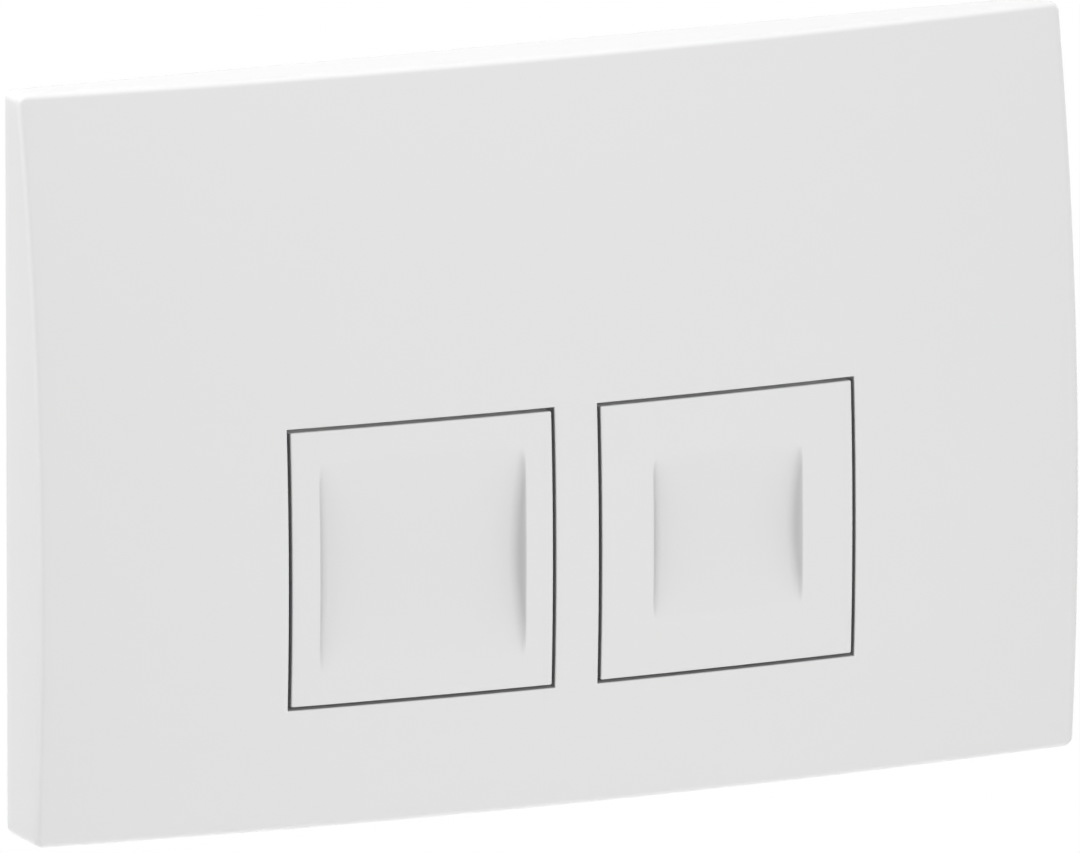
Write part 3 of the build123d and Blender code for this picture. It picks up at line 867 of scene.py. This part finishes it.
# %% Make the finishes of pins, plungers and bushes
PIN_STEEL = finish(
    "pin_steel_drawn",
    colours=((0.42, 0.42, 0.43), (0.58, 0.58, 0.58)),
    roughness=(0.2, 0.4),
    cloud=900,
    grain=2500,
    relief=0.004,
    stretch=(0.03, 1, 1),
    metallic=1.0,
)
PLUNGER_PLASTIC = finish(
    "plunger_natural_plastic",
    colours=((0.65, 0.64, 0.58), (0.71, 0.70, 0.66)),
    roughness=(0.36, 0.48),
    cloud=120,
    grain=1800,
    relief=0.01,
)
BUSH_PLASTIC = finish(
    "bush_natural_plastic",
    colours=((0.58, 0.57, 0.52), (0.66, 0.65, 0.61)),
    roughness=(0.38, 0.5),
    cloud=150,
    grain=1800,
    relief=0.012,
)
print("finishes:", PIN_STEEL.name, PLUNGER_PLASTIC.name, BUSH_PLASTIC.name)

# %% [markdown]
# Each profile is a short list of corners, with a radius and a place along the axis. The plunger's tail
# has the bore that the push rod screws into, and the bush is a ring whose flange carries the spring.

# %% Make pins, plungers and bushes
PIN_SIDES = 32
TURNED_SIDES = 64
PIN_PROUD = 0.08
HEAD_TIP = 1.0
HEAD_CONE = 1.2
HEAD_LENGTH = 3.5
STEM_RADIUS = 4.0
ROD_ENGAGED = 12.0
SEAT_FIT = 0.02
BUSH_FLANGE_THICK = 2.0
BUSH_RADIUS = 6.0
rod_low, rod_high = box_mm("part_flush_push_rod")
bush_low, bush_high = box_mm("part_flush_guide_bush")
ROD_RADIUS = (rod_high[0] - rod_low[0]) / 2
HEAD_RADIUS = (head_high[0] - head_low[0]) / 2
HEAD_FRONT = -head_low[1]
STEM_BACK = -head_high[1]
BUSH_FLANGE = (bush_high[0] - bush_low[0]) / 2


def pin_profile(x):
    """A round bar as long as the collar is wide, its ends bevelled and a hair proud of the collar."""
    half = COLLAR_HALF + PIN_PROUD
    points = [(0, x - half), (PIN_RADIUS, x - half), (PIN_RADIUS, x + half), (0, x + half)]
    return eased(points, EASE)


def plunger_profile():
    """A cone-faced head, a round stem and the bore in its tail."""
    bore, bore_end = ROD_RADIUS + SEAT_FIT, STEM_BACK + ROD_ENGAGED
    points = [(0, HEAD_FRONT), (HEAD_TIP, HEAD_FRONT), (HEAD_RADIUS, HEAD_FRONT - HEAD_CONE)]
    points += [(HEAD_RADIUS, HEAD_FRONT - HEAD_LENGTH), (STEM_RADIUS, HEAD_FRONT - HEAD_LENGTH)]
    points += [(STEM_RADIUS, STEM_BACK), (bore, STEM_BACK), (bore, bore_end), (0, bore_end)]
    return eased(points, EASE)


def bush_profile():
    """A ring with a flange at its front."""
    bore, front, back = STEM_RADIUS + RUNNING_FIT, -bush_low[1], -bush_high[1]
    points = [(bore, front), (BUSH_FLANGE, front), (BUSH_FLANGE, front - BUSH_FLANGE_THICK)]
    points += [(BUSH_RADIUS, front - BUSH_FLANGE_THICK), (BUSH_RADIUS, back), (bore, back)]
    return eased(points, EASE, closed=True)


for side, side_x in SIDE_X.items():
    across, along, up = turn(pin_profile(side_x), PIN_SIDES)
    pin_mesh = grid_mesh(side + "_pin", [place(along, HINGE_Z + up, HINGE_DEPTH + across)])
    add_piece(side + "_pin", pin_mesh, side + "_hinge_pin", PIN_STEEL)
    for part, profile, slot, material in (
        ("plunger", plunger_profile(), "plunger_natural", PLUNGER_PLASTIC),
        ("guide_bush", bush_profile(), "bush_natural", BUSH_PLASTIC),
    ):
        across, along, up = turn(profile, TURNED_SIDES)
        mesh = grid_mesh(f"{side}_{part}_turned", [place(side_x + across, PUSH_Z + up, along)])
        add_piece(f"{side}_{part}_turned", mesh, f"{side}_{part}", material)

# %% [markdown]
# ## Threads
# The push rods and the distance bolts are threaded. A thread could be a screw modifier, which leaves
# open ends, or only a bump, which has a smooth outline. Here the rows of the grid climb one pitch in
# each turn, so every crest is an edge of the mesh, and the rows stop flat against both ends.

# %% Work out a thread
THREAD_SIDES = 28
FLANK_STEPS = 3
THREAD_FORM = np.array([0, *range(FLANK_STEPS + 1), *range(FLANK_STEPS, 0, -1)]) / FLANK_STEPS


def thread(low, high, radius, pitch, deep, bevel):
    """Rows that climb one pitch a turn between two bevelled ends: two across values and the along.

    The radius goes from crest to root and back once in each pitch, and never beyond the bevels' cones.
    """
    steps = len(THREAD_FORM)
    angle = np.linspace(0, 2 * np.pi, THREAD_SIDES + 1)
    rows = np.arange(-steps, math.ceil((high - low) / pitch * steps) + 1)
    along = low + (rows[:, None] / steps + angle / (2 * np.pi)) * pitch
    along = np.clip(along, low, high)
    radius_here = radius - deep * THREAD_FORM[rows % steps][:, None]
    cone = radius - bevel + np.minimum(along - low, high - along)
    radius_here = np.minimum(radius_here, cone)
    along = np.concatenate([along[:1], along, along[-1:]])
    ends = np.zeros((1, THREAD_SIDES + 1))
    radius_here = np.concatenate([ends, radius_here, ends])
    return radius_here * np.cos(angle), along, radius_here * np.sin(angle)


def root_shade(out, radius, deep):
    """Painted shade at a distance out from a thread's axis: 0 at the crests, 1 at the roots and 0 further
    in.
    """
    sunk = (radius - out) / deep
    return np.clip(sunk, 0, 1) * (sunk < 1 + TINY)


print("rows in a pitch, from crest to root and back:", THREAD_FORM.round(2))

# %% [markdown]
# The push rods are grey plastic, screwed into the plungers and cut to length where the plate is fitted.
# They are dull and a little uneven, and painted shade makes the roots of the thread darker than its crests.

# %% Make the push rods
ROD_GREY = finish(
    "rod_grey_plastic",
    colours=((0.26, 0.27, 0.28), (0.34, 0.35, 0.36)),
    roughness=(0.42, 0.56),
    cloud=160,
    grain=2200,
    relief=0.01,
    shade=0.4,
)
ROD_PITCH = 1.5
ROD_THREAD = 0.7
ROD_BEVEL = 1.0
for side, side_x in SIDE_X.items():
    across, along, up = thread(-rod_high[1], -rod_low[1], ROD_RADIUS, ROD_PITCH, ROD_THREAD, ROD_BEVEL)
    rod_mesh = grid_mesh(side + "_rod", [place(side_x + across, PUSH_Z + up, along)])
    x, z, _ = mesh_points(rod_mesh)
    # Painted shade in the roots of the thread.
    store_shade(rod_mesh, root_shade(np.hypot(x - side_x, z - PUSH_Z), ROD_RADIUS, ROD_THREAD))
    add_piece(side + "_rod", rod_mesh, side + "_push_rod", ROD_GREY)

# %% [markdown]
# ## Return springs
# Each plunger is pushed back by a coil of round wire. A curve with a bevel would do, but a circle carried
# along a helix gives a closed mesh. The helix climbs less at both ends, as on a real spring that has to
# stand square on its seat.

# %% Make the springs
SPRING_STEEL = finish(
    "spring_steel_wire",
    colours=((0.36, 0.36, 0.37), (0.54, 0.54, 0.54)),
    roughness=(0.22, 0.38),
    cloud=700,
    grain=3000,
    relief=0.003,
    metallic=1.0,
)
SPRING_TURNS = 4.5
WIRE_RADIUS = 0.5
FLAT_TURN = 0.35
STEPS_PER_TURN = 48
WIRE_SIDES = 14
SPRING_INSET = 2.8
spring_low, spring_high = box_mm("part_flush_return_spring")
SPRING_RADIUS = BUSH_FLANGE - SPRING_INSET


def coil(x, low, high):
    """A circle carried along a helix that climbs less at both ends, closed by a point at each end.

    The wire's circle lies in the plane of the way out from the axis and the axis itself.
    """
    turns = np.linspace(0, SPRING_TURNS, int(SPRING_TURNS * STEPS_PER_TURN) + 1)
    climb = fade(turns, -FLAT_TURN, FLAT_TURN) * fade(SPRING_TURNS - turns, -FLAT_TURN, FLAT_TURN)
    climb = np.concatenate([[0], np.cumsum((climb[1:] + climb[:-1]) / 2)])
    axis_depth = low + WIRE_RADIUS + (high - low - 2 * WIRE_RADIUS) * climb / climb[-1]
    angle = turns * 2 * np.pi
    around = np.linspace(0, 2 * np.pi, WIRE_SIDES + 1)
    thick = np.full((len(turns), 1), WIRE_RADIUS)
    thick, angle, axis_depth = (
        np.concatenate([values[:1] * shrink, values, values[-1:] * shrink])
        for values, shrink in ((thick, 0), (angle[:, None], 1), (axis_depth[:, None], 1))
    )
    out = SPRING_RADIUS + thick * np.cos(around)
    return place(x + out * np.cos(angle), PUSH_Z + out * np.sin(angle), axis_depth + thick * np.sin(around))


for side, side_x in SIDE_X.items():
    spring_mesh = grid_mesh(side + "_coil", [coil(side_x, -spring_high[1], -spring_low[1])])
    spring = add_piece(side + "_coil", spring_mesh, side + "_return_spring", SPRING_STEEL)
    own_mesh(spring)

# %% [markdown]
# ## Bolts, washers and thumb nuts
# Two distance bolts screw into the cistern, stand the frame off with their hexagons, and take a washer
# and a thumb nut in front. They are zinc plated steel. A hexagon could be a six-sided cylinder, but the
# usual bevelled corners are curves, which come out as the smaller of a six-sided radius and a cone.

# %% Make the bolts
BOLT_ZINC = finish(
    "bolt_zinc_steel",
    colours=((0.42, 0.44, 0.48), (0.58, 0.58, 0.57)),
    roughness=(0.28, 0.44),
    cloud=220,
    grain=2600,
    relief=0.006,
    metallic=1.0,
    shade=0.3,
)
HEX_FLATS = 13.0
HEX_FRONT = 1.5
HEX_LENGTH = 6.0
HEX_CONE = 0.55
HEX_FACE = 0.97
HEX_SIDES = 96
HEX_ROWS = 6
HEX_CROWD = 1.5
HEX_PARTS = 3
REAR_RADIUS = 4.0
FRONT_RADIUS = 3.0
REAR_PITCH = 1.25
FRONT_PITCH = 1.0
BOLT_BEVEL = 1.0
THREAD_SHARE = 0.6
bolt_low, bolt_high = box_mm("fixing_bolt_right")
BOLT_X = (bolt_low[0] + bolt_high[0]) / 2
HEX_BACK = HEX_FRONT - HEX_LENGTH
REAR_DEEP = REAR_PITCH * THREAD_SHARE
FRONT_DEEP = FRONT_PITCH * THREAD_SHARE


def hexagon(low, high, flats):
    """A six-sided bar: at every angle the flat's distance, cut by a cone at both ends.

    The rows crowd towards the ends, where the cones are, and leave the middle third of the bar free.
    """
    angle = np.linspace(0, 2 * np.pi, HEX_SIDES + 1)
    face = np.pi / 3
    six = flats / 2 / np.cos(angle % face - face / 2)
    depth = np.linspace(0, 1, HEX_ROWS) ** HEX_CROWD * (high - low) / HEX_PARTS
    along = np.concatenate([[low], low + depth, high - depth[::-1], [high]])[:, None]
    cone = flats / 2 * HEX_FACE + np.minimum(along - low, high - along) / HEX_CONE
    radius = np.minimum(six, cone)
    radius[[0, -1]] = 0
    return radius * np.cos(angle), along + 0 * angle, radius * np.sin(angle)


turned = [
    hexagon(HEX_BACK, HEX_FRONT, HEX_FLATS),
    thread(-bolt_high[1], HEX_BACK + BOLT_BEVEL, REAR_RADIUS, REAR_PITCH, REAR_DEEP, BOLT_BEVEL),
    thread(HEX_FRONT - BOLT_BEVEL, -bolt_low[1], FRONT_RADIUS, FRONT_PITCH, FRONT_DEEP, BOLT_BEVEL),
]
for hand, hand_x in zip(HANDS, (-BOLT_X, BOLT_X)):
    bolt_skin = [place(hand_x + across, up, along) for across, along, up in turned]
    bolt_mesh = grid_mesh("bolt_" + hand, bolt_skin)
    x, z, depth = mesh_points(bolt_mesh)
    out = np.hypot(x - hand_x, z)
    # Painted shade in the roots of the rear and front threads.
    rear_root_shade = root_shade(out, REAR_RADIUS, REAR_DEEP) * (depth < HEX_BACK)
    front_root_shade = root_shade(out, FRONT_RADIUS, FRONT_DEEP) * (depth > HEX_FRONT)
    store_shade(bolt_mesh, rear_root_shade + front_root_shade)
    add_piece("bolt_" + hand, bolt_mesh, "fixing_bolt_" + hand, BOLT_ZINC)

# %% [markdown]
# The washers are plated like the bolts. The nuts are black plastic and are turned by hand, so their grip
# is a circle with eight round bites, given as a radius at every angle. Its rows follow that outline.

# %% Make the washers and nuts
NUT_BLACK = finish(
    "nut_black_plastic",
    colours=((0.035, 0.035, 0.038), (0.06, 0.06, 0.066)),
    roughness=(0.4, 0.55),
    cloud=200,
    grain=2400,
    relief=0.02,
)
WASHER_PLAY = 0.3
NUT_NECK_RADIUS = 6.5
NUT_NECK = 2.0
NUT_RADIUS = 9.0
NUT_GRIPS = 8
NUT_GRIP_RADIUS = 1.8
NUT_EASE = 0.5
NUT_ROUND = 0.3
NUT_SIDES = 192
washer_low, washer_high = box_mm("fixing_washer_right")
nut_low, nut_high = box_mm("fixing_nut_right")
NUT_BACK, NUT_FRONT = -nut_high[1], -nut_low[1]


def washer_profile():
    """A flat ring with its edges eased."""
    inner, outer = FRONT_RADIUS + WASHER_PLAY, (washer_high[0] - washer_low[0]) / 2
    front, back = -washer_low[1], -washer_high[1]
    return eased([(inner, front), (outer, front), (outer, back), (inner, back)], EASE / 2, closed=True)


def grip_outline(angle):
    """Radius of the nut's grip: a circle with round bites centred on it."""
    period = 2 * np.pi / NUT_GRIPS
    off = (angle + period / 2) % period - period / 2
    bite = NUT_GRIP_RADIUS**2 - (NUT_RADIUS * np.sin(off)) ** 2
    edge = NUT_RADIUS * np.cos(off) - np.sqrt(np.maximum(bite, 0))
    return np.where(bite > 0, np.minimum(edge, NUT_RADIUS), NUT_RADIUS)


def nut_skin():
    """Neck, grip and bore: rows of radius and depth, where the grip's rows follow its outline."""
    angle = np.linspace(0, 2 * np.pi, NUT_SIDES + 1)
    grip = grip_outline(angle)
    ring = np.ones(NUT_SIDES + 1)
    bore, head_back = FRONT_RADIUS + SEAT_FIT, NUT_BACK + NUT_NECK
    part = NUT_EASE * NUT_ROUND
    rows = [
        (ring * bore, NUT_BACK), (ring * (NUT_NECK_RADIUS - EASE), NUT_BACK),
        (ring * NUT_NECK_RADIUS, NUT_BACK + EASE), (ring * NUT_NECK_RADIUS, head_back),
        (grip - NUT_EASE, head_back), (grip - part, head_back + part),
        (grip, head_back + NUT_EASE), (grip, NUT_FRONT - NUT_EASE),
        (grip - part, NUT_FRONT - part), (grip - NUT_EASE, NUT_FRONT),
        (ring * (bore + EASE), NUT_FRONT), (ring * bore, NUT_FRONT - EASE), (ring * bore, NUT_BACK),
    ]
    radius = np.stack([row[0] for row in rows])
    along = np.array([row[1] for row in rows])[:, None]
    return radius * np.cos(angle), along + 0 * angle, radius * np.sin(angle)


for hand, hand_x in zip(HANDS, (-BOLT_X, BOLT_X)):
    for part, (across, along, up), slot, material in (
        ("washer", turn(washer_profile(), TURNED_SIDES), "bolt_zinc", BOLT_ZINC),
        ("nut", nut_skin(), "nut_black", NUT_BLACK),
    ):
        mesh = grid_mesh(f"{part}_{hand}", [place(hand_x + across, up, along)])
        add_piece(f"{part}_{hand}", mesh, f"fixing_{part}_{hand}", material)

# %% [markdown]
# ## The mounting frame
# The frame is a dark moulding with a flange, a tub and a bridge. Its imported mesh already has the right
# shape, so a copy is merged, its flat faces are joined again, and a bevel gives it the eased edges of a
# moulded part. Its finish is a fine tool grain, as on hidden technical mouldings.

# %% Dress the frame
FRAME_GREY = finish(
    "frame_grey_plastic",
    colours=((0.075, 0.08, 0.085), (0.105, 0.11, 0.115)),
    roughness=(0.45, 0.62),
    cloud=60,
    grain=1400,
    relief=0.03,
)
FRAME_EASE = 0.35
FRAME_EASE_STEPS = 2
FRAME_EDGE_ANGLE = math.radians(40)
FLAT_ANGLE = math.radians(1)


def merged_copy(name, node):
    """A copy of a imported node's mesh with its loose triangles merged and flat faces joined."""
    mesh = frame["nodes"][node].data.copy()
    mesh.name = name
    skin = bmesh.new()
    skin.from_mesh(mesh)
    bmesh.ops.remove_doubles(skin, verts=skin.verts, dist=MERGE * MM)
    bmesh.ops.dissolve_limit(skin, angle_limit=FLAT_ANGLE, verts=skin.verts, edges=skin.edges)
    skin.to_mesh(mesh)
    skin.free()
    print(f"{name}: {len(mesh.polygons)} faces")
    return mesh


frame_mesh = merged_copy("frame_moulding", "mounting_frame")
frame_piece = add_piece("frame_moulding", frame_mesh, "mounting_frame", FRAME_GREY)
bevel = frame_piece.modifiers.new("eased_edges", "BEVEL")
bevel.width = FRAME_EASE * MM
bevel.segments = FRAME_EASE_STEPS
bevel.limit_method = "ANGLE"
bevel.angle_limit = FRAME_EDGE_ANGLE

# %% [markdown]
# ## Studio
# The photograph is a plain catalogue picture: white all round, soft light from the front, a bright top
# and an even left side. An image of a studio could light it, but plain lamps are easier to balance. The
# world is white to the camera and to reflections and only a weak fill for the rest, so the background
# hardly lights the plate. One soft lamp lights the front. The other four stand behind the front's plane,
# so they light the sides, the edges and the back, and hardly the front.

# %% Light the plate
FILL = 0.05


def seen_rays(nodes, links):
    """Output that is 1 for camera, glossy and transmission rays and 0 for all others."""
    rays = nodes.new("ShaderNodeLightPath")
    seen = rays.outputs["Is Camera Ray"]
    for other in ("Is Glossy Ray", "Is Transmission Ray"):
        either = nodes.new("ShaderNodeMath")
        either.operation = "MAXIMUM"
        links.new(seen, either.inputs[0])
        links.new(rays.outputs[other], either.inputs[1])
        seen = either.outputs["Value"]
    return seen


def studio_world():
    """White for the rays that show the background, and a weak grey fill for all others."""
    world = bpy.data.worlds.new("studio")
    bpy.context.scene.world = world
    world.use_nodes = True
    nodes, links = world.node_tree.nodes, world.node_tree.links
    background = nodes["Background"]
    background.inputs["Color"].default_value = (1, 1, 1, 1)
    level = nodes.new("ShaderNodeMapRange")
    level.inputs["To Min"].default_value = FILL
    links.new(seen_rays(nodes, links), level.inputs["Value"])
    links.new(level.outputs["Result"], background.inputs["Strength"])


def direction(azimuth, elevation):
    """Unit vector from the plate: azimuth 0 is the front and plus to the right, elevation plus is up."""
    azimuth, elevation = math.radians(azimuth), math.radians(elevation)
    level = math.cos(elevation)
    return Vector((math.sin(azimuth) * level, -math.cos(azimuth) * level, math.sin(elevation)))


def soft_lamp(name, azimuth, elevation, distance, size, level):
    """A square lamp aimed at the plate. A white card that faces it is lit to that level, 1 being white."""
    lamp = bpy.data.lights.new(name, "AREA")
    lamp.size = size
    lamp.energy = level * (math.pi * distance) ** 2
    holder = bpy.data.objects.new(name, lamp)
    bpy.context.scene.collection.objects.link(holder)
    holder.location = direction(azimuth, elevation) * distance
    holder.rotation_mode = "QUATERNION"
    holder.rotation_quaternion = Vector(holder.location).to_track_quat("Z", "Y")
    holder.visible_glossy = False
    print(f"{name}: {lamp.energy:.0f} W at {distance} m")


studio_world()
soft_lamp("key_front", azimuth=1, elevation=13, distance=2.4, size=0.8, level=0.885)
soft_lamp("side_left", azimuth=-112, elevation=8, distance=1.8, size=0.7, level=0.79)
soft_lamp("side_right", azimuth=112, elevation=8, distance=1.8, size=0.7, level=0.62)
soft_lamp("top_back", azimuth=-150, elevation=75, distance=1.6, size=0.7, level=0.83)
soft_lamp("low_back", azimuth=180, elevation=-70, distance=0.7, size=0.4, level=0.5)

# %% [markdown]
# The floor is a pale disc well below the plate. A plane with a hard edge would show in views from above,
# so the disc melts into the white round it. It glows a little for the rays that show the background, so
# that it looks white and still keeps the plate's shadow, and it is clear from below, so that a view from
# under the plate isn't blocked.

# %% Lay the floor
FLOOR_DROP = 0.8
FLOOR_CLEAR = 0.6
FLOOR_RADIUS = 0.8
FLOOR_RINGS = 12
FLOOR_SIDES = 72
FLOOR_ROUGHNESS = 0.9
FLOOR_COLOUR = (0.85, 0.85, 0.85, 1)
FLOOR_GLOW = (0.6, 0.6, 0.6, 1)


def pale_floor():
    """A disc of rings, pale in the middle and clear from below.

    Towards the rim it clears by a smooth step of the level distance from the middle.
    """
    rings = np.linspace(0, FLOOR_RADIUS, FLOOR_RINGS)
    across, along, up = turn(np.column_stack([rings, np.full(FLOOR_RINGS, -FLOOR_DROP)]), FLOOR_SIDES)
    grid = np.stack([across, up, along], axis=-1)[:, ::-1]
    mesh = bpy.data.meshes.new("floor")
    mesh.from_pydata(grid.reshape(-1, 3).tolist(), [], quads(*grid.shape[:2]).tolist())
    material = bpy.data.materials.new("floor_pale")
    material.use_nodes = True
    nodes, links = material.node_tree.nodes, material.node_tree.links
    shader = nodes["Principled BSDF"]
    shader.inputs["Base Color"].default_value = FLOOR_COLOUR
    shader.inputs["Roughness"].default_value = FLOOR_ROUGHNESS
    shader.inputs["Emission Color"].default_value = FLOOR_GLOW
    links.new(seen_rays(nodes, links), shader.inputs["Emission Strength"])
    where = nodes.new("ShaderNodeTexCoord")
    flat = nodes.new("ShaderNodeVectorMath")
    flat.operation = "MULTIPLY"
    flat.inputs[1].default_value = (1, 1, 0)
    out = nodes.new("ShaderNodeVectorMath")
    out.operation = "LENGTH"
    rim = nodes.new("ShaderNodeMapRange")
    rim.interpolation_type = "SMOOTHSTEP"
    rim.inputs["From Min"].default_value = FLOOR_CLEAR
    rim.inputs["From Max"].default_value = FLOOR_RADIUS
    rim.inputs["To Min"].default_value, rim.inputs["To Max"].default_value = 1, 0
    face = nodes.new("ShaderNodeNewGeometry")
    solid = nodes.new("ShaderNodeMath")
    solid.operation = "SUBTRACT"
    solid.use_clamp = True
    links.new(where.outputs["Object"], flat.inputs[0])
    links.new(flat.outputs["Vector"], out.inputs[0])
    links.new(out.outputs["Value"], rim.inputs["Value"])
    links.new(rim.outputs["Result"], solid.inputs[0])
    links.new(face.outputs["Backfacing"], solid.inputs[1])
    links.new(solid.outputs["Value"], shader.inputs["Alpha"])
    mesh.materials.append(material)
    floor = bpy.data.objects.new("floor", mesh)
    bpy.context.scene.collection.objects.link(floor)
    print(f"floor {FLOOR_RADIUS * 2} m across, {FLOOR_DROP} m below the plate's middle")


pale_floor()

# %% [markdown]
# ## Camera
# The picture was taken from the left and a little above with a very long lens, so that edges which are
# parallel stay parallel. The camera's place follows from two angles and from how many pixels of the
# picture a millimetre at the plate's centre covers.

# %% Set the camera
PHOTO_WIDTH = 1080
PIXELS_PER_MM = 4.6237
CAMERA_AZIMUTH = -23.9765
CAMERA_ELEVATION = 12.3566
AIM_RIGHT = 2.397
AIM_UP = -2.831
LENS = 1200.0
SENSOR = 36.0
NEAR_CLIP = 0.1
FAR_CLIP = 100.0
camera = bpy.data.objects.new("camera", bpy.data.cameras.new("camera"))
bpy.context.scene.collection.objects.link(camera)
camera.data.lens = LENS
camera.data.sensor_width = SENSOR
camera.data.clip_start = NEAR_CLIP
camera.data.clip_end = FAR_CLIP
back = direction(CAMERA_AZIMUTH, CAMERA_ELEVATION)
camera.rotation_mode = "QUATERNION"
camera.rotation_quaternion = back.to_track_quat("Z", "Y")
right = camera.rotation_quaternion @ Vector((1, 0, 0))
above = camera.rotation_quaternion @ Vector((0, 1, 0))
aim = (right * AIM_RIGHT + above * AIM_UP) * MM
camera.location = aim + back * (LENS / SENSOR * PHOTO_WIDTH / PIXELS_PER_MM * MM)
bpy.context.scene.camera = camera
bpy.context.scene.view_settings.view_transform = "Standard"
print(f"camera {camera.location.length:.2f} m from the plate")
